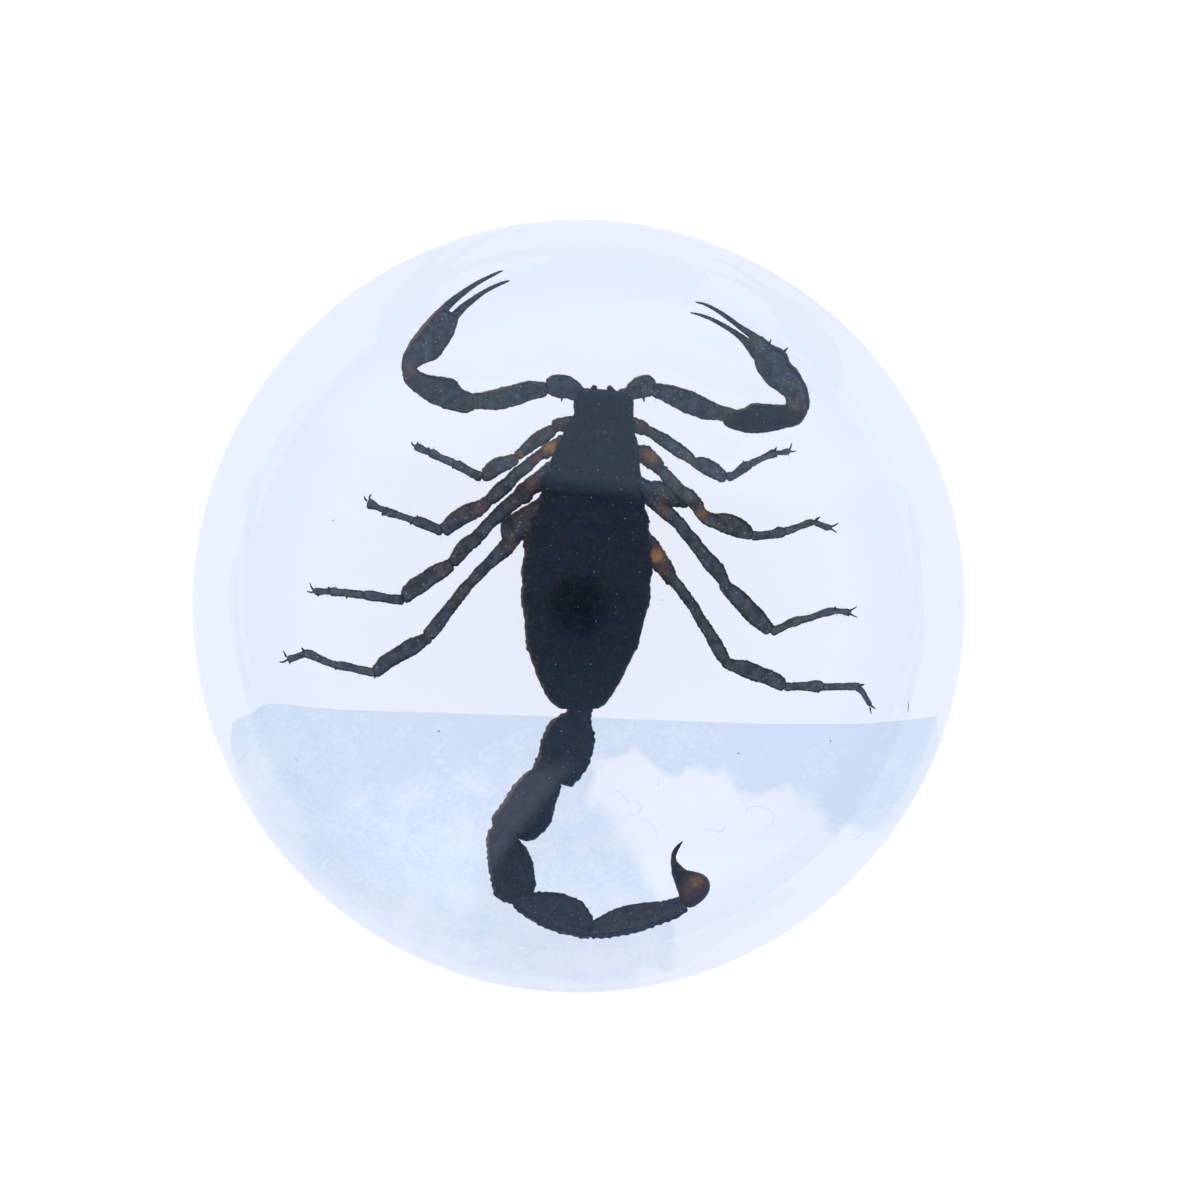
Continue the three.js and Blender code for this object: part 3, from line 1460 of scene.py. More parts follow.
    def comb(self, side: Side, teeth: int = 19) -> list[Shell]:
        """One comb: a curved arm under the belly with evenly spaced pegs on its hind edge.

        Args:
            side: Which side of the body.
            teeth: How many pegs.

        Returns:
            The arm and its pegs.
        """
        sign = -1.0 if side is Side.LEFT else 1.0
        bottom = self.middle_height - self.comb_drop
        seen = tuple((self.comb_middle + sign * x, y, half) for x, y, half in self.comb_arm)
        arm = self.kit.lens.limb(seen, (bottom, bottom + 0.15), 0.55)
        shells = [sweep(arm, Skin(2.4), 34, 16, (0.2, 0.2), 51.0)]
        path, _ = smooth_rows(arm, teeth + 2, 0.0)
        travel = unit(np.gradient(path[:, :3], axis=0))
        behind = np.cross(travel, UP) * sign
        for root, back in zip(path[1:-1], behind[1:-1]):
            tip = root[:3] + back * (root[3] + self.peg_reach) - UP * 0.10
            near = root[:3] + back * (root[3] - 0.10)
            middle = 0.5 * (near + tip)
            rows = ((*near, 0.13, 0.09, 0.09), (*middle, 0.12, 0.1, 0.1), (*tip, 0.09, 0.07, 0.07))
            shells.append(sweep(rows, Skin(2.0), 8, 8, (0.05, 0.1)))
        return shells

    def build(self) -> None:
        """Makes every piece of the trunk."""
        kit = self.kit
        kit.hard("head_shield", self.head_shield())
        make_piece("eyes", self.eyes(), kit.gloss, Slot.CUTICLE)
        for side in Side:
            kit.hard(f"jaw_{side.value}", *self.jaws(side))
            make_piece(f"comb_{side.value}", self.comb(side), kit.skin, Slot.SKIN)
        edges = list(zip(self.plate_edges, self.plate_edges[1:]))
        for number, (front, end) in enumerate(edges):
            kit.hard(f"back_plate_{number + 1}", self.plate(front, end, True, 60.0 + number))
        for number, (front, end) in list(enumerate(edges))[2:]:
            kit.hard(f"belly_plate_{number + 1}", self.plate(front, end, False, 70.0 + number))
        make_piece("breathing_slits", self.breathing_slits(), kit.gloss, Slot.CUTICLE)
        kit.hard("breastplate", *self.breastplate())
        make_piece("side_skin", [self.side_skin()], kit.skin, Slot.SKIN)


@dataclass
class Pincer:
    """One pincer arm: hip piece, upper arm, forearm, hand with its fixed finger, and the
    moving finger. Hip, forearm and hand are rows of both edges, x, y and x, y, in picture
    steps; the others are rows of x, y and half width in millimetres, as seen."""

    kit: Specimen
    side: Side
    hip: Rows
    upper_arm: Rows
    forearm: Rows
    hand: Rows
    fixed_finger: Rows
    moving_finger: Rows
    thorns: Rows
    glow: Rows
    worn: tuple[float, float, float] = (0.36, 0.34, 0.42)  # upper arm, forearm, hand
    heights: tuple[float, ...] = (7.6, 7.9, 8.1, 8.1, 8.0)

    def keels(self, height: float) -> tuple[Keel, ...]:
        """Four beaded ridges round a limb."""
        return tuple(Keel(angle, height, 0.13, 0.42) for angle in (35.0, -35.0, 145.0, -145.0))

    def finger_teeth(self, route: Array, inner: float, seed: int) -> list[Shell]:
        """A row of tiny teeth along the inner edge of a finger.

        Args:
            route: The finger's full route.
            inner: 1 if the inner edge is left of the travel, -1 if right.
            seed: Makes their sizes repeatable.

        Returns:
            One small bead for each tooth.
        """
        draw = np.random.default_rng(seed)
        path, _ = smooth_rows(route, 26, 0.0)
        travel = unit(np.gradient(path[:, :3], axis=0))
        edge = np.cross(UP, travel) * inner
        sizes = draw.uniform(0.045, 0.075, len(path))
        shells = []
        for row, away, size in zip(path[5:-3], edge[5:-3], sizes[5:-3]):
            shells.append(bead(row[:3] + away * row[3] * 0.92, np.full(3, size), 4, 6))
        return shells

    def build(self) -> None:
        """Makes the arm's pieces."""
        lens, kit, h = self.kit.lens, self.kit, self.heights
        name = f"pincer_{self.side.value}"
        inner = -1.0 if self.side is Side.LEFT else 1.0
        arm_skin, fore_skin = (
            Skin(2.7, 90.0, self.keels(0.08), 0.055, 0.42, 0.05, worn=worn) for worn in self.worn[:2]
        )
        hand_skin = Skin(2.3, 90.0, self.keels(0.04), 0.045, 0.42, 0.04, worn=self.worn[2])
        finger_skin = Skin(2.2, grain=0.02, spacing=0.3, waves=0.02, worn=0.30)
        hip = sweep(lens.track(self.hip, h[:2], 0.85), arm_skin, 50, 52, (0.3, 0.25), 81.0)
        upper = sweep(lens.limb(self.upper_arm, h[1:3], 0.95), arm_skin, 90, 64, (0.25, 0.25), 82.0)
        fore = sweep(lens.track(self.forearm, h[2:4], 0.9), fore_skin, 90, 64, (0.25, 0.25), 83.0)
        hand = sweep(lens.track(self.hand, (h[3], h[3]), 0.85), hand_skin, 90, 64, (0.3, 0.2), 84.0)
        routes = [lens.limb(seen, h[3:], 0.95) for seen in (self.fixed_finger, self.moving_finger)]
        fixed, moving = (
            sweep(route, finger_skin, 60, 20, (0.3, 0.12), 85.0 + number)
            for number, route in enumerate(routes)
        )
        spots = kit.spots(self.glow, h[3])
        for shell in (hip, upper, fore, hand):
            shell.spotted(spots)
        kit.hard(f"{name}_hip", hip)
        kit.hard(f"{name}_upper_arm", upper)
        kit.hard(f"{name}_forearm", fore, *kit.thorns(self.thorns, h[3]))
        kit.hard(f"{name}_hand", hand, fixed, *self.finger_teeth(routes[0], inner, 5))
        kit.hard(f"{name}_moving_finger", moving, *self.finger_teeth(routes[1], -inner, 6))
        hairs = kit.hairs([upper, fore, hand], 16, 0.5, 90)
        kit.hard(f"{name}_hairs", hairs, kit.hairs([fixed, moving], 8, 0.35, 91))


LEFT_PINCER_PLAN = {
    "hip": (
        (592, 404, 592, 389), (583.5, 402, 584, 388), (574.5, 400, 578, 381.7),
        (562.5, 397.3, 566.5, 375.3), (551.5, 395.2, 550.5, 376.2), (544.5, 392.2, 544, 382.7),
    ),
    "upper_arm": (
        (-2.5, 17.7, 0.5), (-3.3, 17.63, 0.68), (-4.3, 17.48, 0.81), (-5.45, 17.13, 0.85),
        (-6.75, 16.83, 0.81), (-8.05, 16.73, 0.64), (-9.05, 16.6, 0.6),
    ),
    "forearm": (
        (476, 408.5, 474, 394), (471, 411, 469, 392), (463, 412, 462, 388.5), (448, 408.7, 454.7, 379.5),
        (431.5, 403, 441, 376.5), (416.3, 393, 427.2, 374.3), (404.8, 381.8, 417, 369.5),
        (401.3, 371, 414.5, 364),
    ),
    "hand": (
        (402.3, 373.5, 415.2, 372.7), (401.3, 368.7, 416.2, 368.7), (402.6, 357, 422.5, 363.5),
        (408.2, 345.2, 435, 358.8), (417.4, 332, 446.5, 345.5), (427.7, 319.6, 454.8, 330.5),
        (436.5, 310.5, 457.8, 318.5), (440.3, 307.2, 458.6, 315.2),
    ),
    "fixed_finger": (
        (-11.65, 23.2, 0.55), (-11.08, 24.03, 0.39), (-10.48, 24.68, 0.32), (-9.48, 25.48, 0.24),
        (-8.43, 26.22, 0.18), (-7.38, 26.79, 0.135), (-6.63, 27.15, 0.1), (-6.15, 27.35, 0.05),
    ),
    "moving_finger": (
        (-10.7, 22.7, 0.5), (-10.22, 23.47, 0.4), (-9.47, 24.3, 0.31), (-8.6, 24.98, 0.23),
        (-7.78, 25.55, 0.175), (-6.81, 26.07, 0.145), (-5.93, 26.43, 0.1), (-5.6, 26.52, 0.04),
    ),
    "thorns": ((562, 396, 561, 401.5), (548, 381, 546, 378)),
    "glow": ((409, 369, 9, 0.3), (473, 401, 7, 0.14)),
}
RIGHT_PINCER_PLAN = {
    "hip": (
        (616.5, 388.5, 618.5, 403.5), (624.5, 388, 627.5, 401.5), (630, 381.5, 632.5, 399.5),
        (638.5, 375.8, 641.5, 397.5), (651, 376.5, 651.5, 394.5), (656.5, 382.5, 655.5, 392),
    ),
    "upper_arm": (
        (5.95, 17.7, 0.5), (6.95, 17.38, 0.65), (8, 16.98, 0.8), (9.25, 16.48, 0.87), (10.35, 16.03, 0.8),
        (11.35, 15.78, 0.62), (12.25, 15.53, 0.6), (12.85, 15.33, 0.55),
    ),
    "forearm": (
        (724, 410, 722, 423.5), (732, 410.2, 729, 427), (742, 408.7, 737, 430), (750, 403.7, 750, 432),
        (765, 403.5, 768, 431.5), (781, 405, 786, 427.5), (795, 402.5, 799.3, 423.3),
        (806, 401.5, 808, 410.5),
    ),
    "hand": (
        (787, 411, 807.8, 411.5), (786, 405, 809, 405.5), (785, 397.3, 808.3, 396.5),
        (777.5, 391, 804.8, 384), (765.3, 381.5, 797.5, 371.5), (757.8, 370.7, 790, 363),
        (753, 357.3, 784.5, 352), (748, 346.7, 771, 344), (744.5, 338.5, 760.5, 335),
    ),
    "fixed_finger": (
        (15.28, 20.86, 0.55), (14.88, 21.33, 0.46), (14.12, 22.05, 0.31), (13.17, 22.72, 0.21),
        (12.17, 23.47, 0.18), (11.12, 24.16, 0.14), (10.22, 24.61, 0.1), (9.47, 24.78, 0.05),
    ),
    "moving_finger": (
        (14.7, 20.2, 0.48), (14.08, 21.08, 0.42), (13.43, 21.73, 0.3), (12.64, 22.33, 0.21),
        (11.75, 22.88, 0.175), (10.85, 23.35, 0.145), (9.87, 23.72, 0.11), (9.05, 23.92, 0.05),
    ),
    "thorns": ((643, 396, 644, 402), (768, 345, 771, 339), (783, 352, 788, 347)),
    "glow": ((797, 404, 9, 0.22), (727, 416, 7, 0.14)),
    "worn": (0.36, 0.05, 0.44),
}


class LegPart(Enum):
    """The pieces of a leg beyond its root, from the body outwards. Each value is the true
    height of the piece's path at its start and end, its rings, how rough it is and how pale
    it is worn."""

    HIP = (7.0, 7.1, 44, 0.06, 0.35)
    THIGH = (7.1, 8.2, 76, 0.05, 0.50)
    KNEE = (8.2, 7.9, 64, 0.045, 0.50)
    SHIN = (7.9, 7.2, 48, 0.03, 0.60)
    ANKLE = (7.2, 6.9, 44, 0.03, 0.70)
    FOOT = (6.9, 6.8, 32, 0.02, 0.60)


@dataclass(frozen=True)
class LegPlan:
    """The measured shape of one leg, in picture steps. Each of the parts is rows of x, y and
    half width, or rows of both edges, x, y and x, y; there is one for each LegPart."""

    name: str
    root: Pair
    parts: tuple[Rows, ...]
    claws: tuple[Rows, ...]
    thorns: Rows
    glow: Rows


@dataclass
class Leg:
    """One walking leg, from its root piece under the belly to its two claws."""

    kit: Specimen
    plan: LegPlan
    seed: float
    flatness: float = 0.85
    root_height: float = 6.6

    def root_piece(self, hip: Array) -> Shell:
        """The flat piece that joins the leg to the body, hidden under the head shield.

        Args:
            hip: The route of the leg's first part.

        Returns:
            The closed surface.
        """
        lens = self.kit.lens
        start = lens.true_place(lens.seen(np.array(self.plan.root)), self.root_height)
        end, half = hip[1, :3], hip[1, 3]
        rows = (
            (*start, 0.60, 0.45, 0.45),
            (*(0.5 * (start + end)), 0.9 * half, 0.6 * half, 0.6 * half),
            (*end, 0.92 * half, 0.7 * half, 0.7 * half),
        )
        return sweep(rows, Skin(2.5, grain=0.04), 40, 32, (0.3, 0.4), self.seed + 0.5)

    def build(self) -> None:
        """Makes the leg as one piece and its hairs as another."""
        lens, kit, pieces = self.kit.lens, self.kit, []
        for number, (part, seen) in enumerate(zip(LegPart, self.plan.parts)):
            start, end, rings, rough, worn = part.value
            route = lens.track(seen, (start, end), self.flatness)
            if part is LegPart.HIP:
                pieces.append(self.root_piece(route))
            keels = (Keel(90.0, rough, 0.12, 0.4), Keel(-90.0, rough, 0.12, 0.4))
            skin = Skin(2.3, 90.0, keels, rough, 0.4, 1.2 * rough, worn=worn)
            pieces.append(sweep(route, skin, rings, 32, (0.22, 0.22), self.seed + number))
        spots = kit.spots(self.plan.glow, LegPart.THIGH.value[0])
        for shell in pieces:
            shell.spotted(spots)
        low = LegPart.FOOT.value[1]
        claws = [
            sweep(lens.track(rows, (low, low - 0.2), 1.0), Skin(2.0), 16, 8, (0.05, 0.03))
            for rows in self.plan.claws
        ]
        thorns = kit.thorns(self.plan.thorns, LegPart.ANKLE.value[0])
        kit.hard(self.plan.name, *pieces, *claws, *thorns)
        hairs = kit.hairs(pieces[4:], 11, 0.42, int(self.seed))
        sparse = kit.hairs(pieces[2:4], 6, 0.40, int(self.seed) + 1)
        kit.hard(f"{self.plan.name}_hairs", hairs, sparse)


LEG_PLANS = (
    LegPlan("leg_left_1", root=(594, 439), parts=(
        ((577, 424.4, 7.2), (566, 424.1, 7), (557.8, 425.3, 5.9), (552, 428, 5.2)),
        ((554.5, 428.3, 5.3), (544.5, 434.6, 6.6), (534.3, 441.6, 6.5), (525.6, 448.8, 5.4),
         (515.5, 456.9, 4.4)),
        ((515.5, 453.5, 520, 461.3), (505, 456, 509.3, 468.8), (496, 457.7, 500.7, 473.5),
         (489, 461.8, 494, 477.5), (484, 467, 488, 480), (480.5, 472, 482.5, 481.8)),
        ((482.5, 477, 5.2), (472, 472.5, 4.2), (464, 468.4, 4.1), (458.5, 465.4, 4.3),
         (452.5, 463, 3.4)),
        ((456, 464, 3.4), (448, 460.5, 3.6), (440, 457, 3.2), (433, 453.4, 4.2), (428, 451.8, 3.6)),
        ((431, 452.6, 3), (424, 450.2, 3.2), (418.5, 447.6, 3.7), (413.5, 446.3, 3.2)),
    ), claws=(
        ((414.5, 446, 1.1), (411.8, 443.5, 0.9), (411.3, 441.3, 0.4)),
        ((418, 444.5, 1), (417.3, 442.5, 0.8), (417.6, 441, 0.3)),
    ), thorns=((458, 463, 460.5, 459.8), (453, 466, 452, 468.8), (429, 450, 428, 446.5)),
    glow=((562, 423, 8, 0.22), (548, 432, 9, 0.16), (517, 456, 6, 0.35))),
    LegPlan("leg_left_2", root=(591, 454), parts=(
        ((565.5, 439, 6.6), (554.5, 445.5, 6.3), (546.5, 450, 6.4), (540, 455, 5.4)),
        ((543.5, 451.6, 4.6), (534.6, 459, 4.6), (524.8, 466.8, 5.7), (508.8, 481.8, 6),
         (496, 493.3, 6.8), (488, 501.5, 5.2)),
        ((487, 495, 493, 503.5), (479, 500.8, 486.3, 510.6), (470, 503, 478.5, 516.2),
         (462, 505.5, 470.5, 520.8), (455, 510, 463.5, 524.8), (448.5, 515, 457, 528.3),
         (443, 521.5, 450.6, 532.2), (438, 526, 445, 536.8)),
        ((443, 531.5, 5), (430, 526, 4.8), (420, 521.8, 5.2), (411.5, 519.8, 3.6)),
        ((415, 521, 3.6), (405, 517.2, 3.2), (397, 514.6, 3.4), (389, 512.3, 4.2), (382, 510.2, 4)),
        ((385, 510, 3.2), (377, 507, 3), (371, 504, 4.7), (366.5, 503.2, 4.8)),
    ), claws=(
        ((367, 501, 1.1), (364.8, 498.5, 0.9), (364, 495.5, 0.4)),
        ((369.5, 500, 1.1), (369.3, 496.5, 0.9), (371.5, 493.5, 0.35)),
    ), thorns=((416.5, 518, 417.5, 514.6), (411, 522, 410, 525), (382.5, 513, 381.5, 515.5)),
    glow=((550, 446, 8, 1), (536, 457, 6, 0.3), (478, 508, 8, 0.22), (455, 517, 8, 0.1))),
    LegPlan("leg_left_3", root=(590, 469), parts=(
        ((551.5, 459.5, 556, 484), (541, 467, 547, 487), (532.8, 474.5, 541, 489.3),
         (525, 479.8, 534, 494.3), (517.7, 487, 529.3, 501.3), (511.2, 496, 521.3, 505)),
        ((523.5, 493, 6.6), (515.8, 499.3, 7), (504.2, 508.7, 6.5), (494.3, 518.3, 6.2),
         (484.6, 528.1, 6.3), (474.7, 538.7, 6.5), (463.1, 548.1, 7.3), (458, 555, 6.5),
         (450.5, 564.5, 5)),
        ((450, 559, 455, 568), (438, 563, 445, 576.5), (428, 567.5, 436, 583), (418, 575, 427, 589.5),
         (409, 580.5, 417, 596), (403, 586.5, 410, 600.8), (399.5, 593.5, 405, 604)),
        ((404.5, 600, 5.2), (390, 598.6, 4.1), (378, 596.4, 4.6), (368, 595.2, 5), (362, 594.5, 4)),
        ((366, 595, 3.8), (350, 593.3, 3.8), (340, 592.2, 3.8), (332, 591.3, 4), (328.5, 590.8, 2.8)),
        ((332, 591, 2.7), (323, 591.2, 2.8), (316.5, 591.3, 3.4), (312, 590.2, 1.8)),
    ), claws=(
        ((313, 589.5, 1.1), (311, 586.5, 0.8), (309.3, 582, 0.35)),
        ((313, 592, 1), (309.5, 591.8, 0.8), (306, 590.3, 0.35)),
    ), thorns=((347, 595, 346, 598.8), (329.5, 589, 328, 586.2), (333, 594, 331, 596),
        (317, 593, 318.5, 596.5)),
    glow=((532, 483, 8, 0.42), (545, 473, 7, 0.2), (437, 572, 7, 0.08))),
    LegPlan("leg_left_4", root=(589, 481), parts=(
        ((556, 498, 550, 536), (545, 499, 537, 538), (533, 501.5, 528, 538.5), (522, 508, 519.5, 540),
         (512, 513.7, 513, 544), (499.3, 521, 500.7, 540.5)),
        ((515, 534, 8), (510.5, 541, 8.2), (501, 551.5, 7.4), (493.5, 559, 6.2), (486, 566, 5.5),
         (474, 578, 5.2), (463, 591, 5.1), (454, 602, 5.3), (445, 613.5, 5.9), (435, 627, 6.5),
         (426, 637, 6)),
        ((426, 632, 433, 640), (418, 635.5, 426, 645), (408, 639, 418, 652), (398, 645.5, 408, 657.5),
         (388, 652.3, 398, 663), (380, 657.5, 389, 668.5), (375, 663, 381, 675),
         (371, 668.3, 374.5, 677.5)),
        ((375, 673, 4.4), (362, 669.8, 3.6), (350, 667, 4), (340, 665.2, 4.3), (335, 664.8, 3.6)),
        ((338, 665.8, 3.4), (325, 661, 3.2), (315, 656.6, 3.6), (308, 653.6, 4), (302.5, 652.6, 3.4)),
        ((305, 653.2, 3.4), (298, 655.8, 3.1), (292, 657.8, 3.4), (286.5, 658.7, 3.2)),
    ), claws=(
        ((286, 657, 1.1), (284.3, 653, 0.8), (282.3, 650, 0.35)),
        ((287, 659.5, 1.1), (283, 661.6, 1), (279, 661.8, 0.5)),
    ), thorns=((304, 651, 301, 647), (290.5, 660, 289, 663.8), (336, 667, 335, 670),
        (375, 675, 374, 678.5)),
    glow=((524, 507, 8, 0.34), (511, 541, 7, 0.26), (538, 505, 6, 0.15))),
    LegPlan("leg_right_1", root=(606, 439), parts=(
        ((628, 422, 6.8), (634, 424, 6.6), (641, 427, 6.3), (648.5, 431, 5)),
        ((644, 429, 4.8), (653, 433.5, 4.8), (660, 437.5, 5.3), (669, 443.5, 6.1), (678, 449.5, 6.3),
         (686, 455.5, 5.2), (693.5, 461.5, 4.4)),
        ((694, 457, 688.5, 462.5), (703, 457.5, 698, 469.8), (710, 459.5, 706, 475),
         (717, 463, 713, 478.3), (722, 468, 719, 480.5), (727.5, 472.5, 726, 481.8)),
        ((725.5, 477.4, 4.4), (735, 474, 3.7), (741, 469.2, 4.5), (746, 466, 4.8), (751, 463.6, 3.9)),
        ((749, 464.2, 3.8), (760, 458.8, 3), (767, 455.5, 3.3), (773, 453.2, 3.9), (776.5, 452.5, 3)),
        ((774, 452.7, 2.6), (781, 452.3, 2.3), (787, 451.2, 3.1), (790.5, 450.5, 2)),
    ), claws=(
        ((789, 449.5, 1.1), (790.5, 446.5, 0.8), (791.5, 442.3, 0.35)),
        ((789.5, 451, 1.1), (793, 451.3, 0.8), (796.3, 450.3, 0.35)),
    ), thorns=((743, 464, 743, 460), (774, 451, 776.5, 446.5), (775, 455, 777, 457)),
    glow=((641, 425, 7, 0.26), (692, 460, 4, 0.26))),
    LegPlan("leg_right_2", root=(604.5, 454), parts=(
        ((626, 445, 628, 458), (634, 445.5, 636, 461), (642, 445.3, 643, 463.5),
         (650, 447.3, 648, 467.5), (656, 453, 653, 469.5), (664.5, 466.5, 660, 476)),
        ((662, 465.5, 658, 474), (668, 469, 662, 480), (675, 476.5, 667, 486), (683, 485.5, 675, 494),
         (692, 490.8, 682, 501), (699, 498.5, 690, 507.2), (705.5, 509, 699, 515)),
        ((700, 506, 691, 508.5), (708, 511.5, 699, 518.5), (714, 513.8, 707, 525.3),
         (722, 513, 717, 529.6), (731, 514.2, 727, 533.4), (740, 518.3, 736, 536.3),
         (747, 523.3, 744, 538.8), (754, 530.5, 752, 539.5)),
        ((750, 535.4, 4.2), (762, 535.2, 3.9), (772, 534, 4.5), (780, 532, 5), (786, 531.2, 3.8)),
        ((782, 531.8, 3.6), (791, 529.3, 3.3), (800, 525.8, 3.1), (808, 523, 3.3), (815, 521.2, 2.6)),
        ((812, 521.2, 2.4), (820, 524.3, 2.7), (827, 527, 3.1), (832, 527.3, 2.2)),
    ), claws=(
        ((831, 526.3, 1.1), (834.5, 525, 0.9), (838.5, 522.5, 0.4)),
        ((830.5, 528.5, 1), (833.5, 530.3, 0.8), (836.8, 532.8, 0.35)),
    ), thorns=((815, 520, 820, 516.3), (661, 466, 668.5, 467.5), (777, 529, 778, 525.8)),
    glow=((650, 455, 9, 0.62), (676, 478, 7, 0.16), (702, 512, 7, 0.52))),
    LegPlan("leg_right_3", root=(603, 469), parts=(
        ((628, 472, 630, 492), (638, 474, 640, 497), (648, 480.5, 649, 502.5), (661, 482, 663, 505.3),
         (675, 485, 677, 506), (689.5, 494, 689, 507)),
        ((648, 497, 6.5), (656, 503.5, 6.4), (666.5, 512, 6.9), (677, 521.5, 6), (688.5, 535.5, 6),
         (701.5, 552.7, 6.5), (712, 564.7, 7.4), (717, 570.7, 7.2), (721, 577, 6), (726, 585.5, 5.2)),
        ((722, 581, 5), (727.3, 588, 6.4), (735.2, 595.2, 7.8), (745.2, 605.7, 8.6),
         (756.3, 617.2, 8.4), (764.5, 625.5, 6.9), (770.3, 632.5, 5.2)),
        ((769.5, 631.5, 4.6), (780, 628, 3.8), (789, 623.4, 3.8), (797, 620.7, 4.4),
         (802.5, 618.9, 3.2)),
        ((799, 620, 3.4), (810, 617.5, 3), (820, 613.8, 3.3), (829, 611.3, 3.8), (836, 610, 3)),
        ((833, 610.3, 2.7), (841, 611, 2.6), (847, 612, 3.5), (851, 611.7, 2.6)),
    ), claws=(
        ((849.5, 610.5, 1.1), (853, 608.5, 0.8), (857, 606.3, 0.35)),
        ((849.5, 613.5, 1.1), (853, 615.3, 0.8), (857.5, 617.2, 0.35)),
    ), thorns=((795, 619, 796, 615.8), (802, 621, 803.5, 623.3), (834, 609, 835.5, 606),
        (848, 613, 848.5, 616.5)),
    glow=((661, 509, 8, 0.34), (668, 488, 8, 0.14))),
    LegPlan("leg_right_4", root=(602, 481), parts=(
        ((644.5, 537.3, 7.2), (649.5, 545.3, 8.3), (654.5, 553.3, 9), (660.5, 562.3, 8.8),
         (667.5, 573.2, 7.3), (674, 583, 5.7)),
        ((672, 578, 5), (680.8, 589.7, 5), (689.7, 602.2, 4.9), (700.2, 618.2, 4.9),
         (710.5, 635.3, 5.7), (719.2, 650.3, 6.3), (726.5, 662, 5)),
        ((728, 658.5, 719.5, 663.5), (735.5, 660, 729.5, 670), (744, 660.2, 739, 674.7),
         (753.3, 662.5, 748.3, 678), (762.5, 667, 757.5, 681.3), (771.5, 670.5, 766.5, 684.5),
         (779.5, 674.8, 775, 688), (787, 681.8, 784, 690.5)),
        ((783, 686, 4.2), (795, 686.3, 3.7), (806, 686, 4.2), (817, 686, 5.6), (824, 686, 4)),
        ((820, 686.4, 3.5), (832, 686.4, 3.2), (845, 686, 3.2), (853, 686.2, 3.6), (860.5, 686, 3.2)),
        ((856, 687.6, 3.2), (861, 690.3, 3), (865.5, 697.5, 2.5), (870.5, 705.8, 2.3)),
    ), claws=(
        ((870.5, 705, 1.1), (872.8, 706.8, 0.9), (875.5, 709, 0.4)),
        ((869.5, 706.5, 1), (870.3, 710, 0.7), (870.8, 714, 0.3)),
    ), thorns=((818, 683, 819, 679.6), (818, 690, 818, 693), (860, 685, 864.5, 684)),
    glow=((655, 555, 8, 1), (665, 570, 6, 0.25))),
)


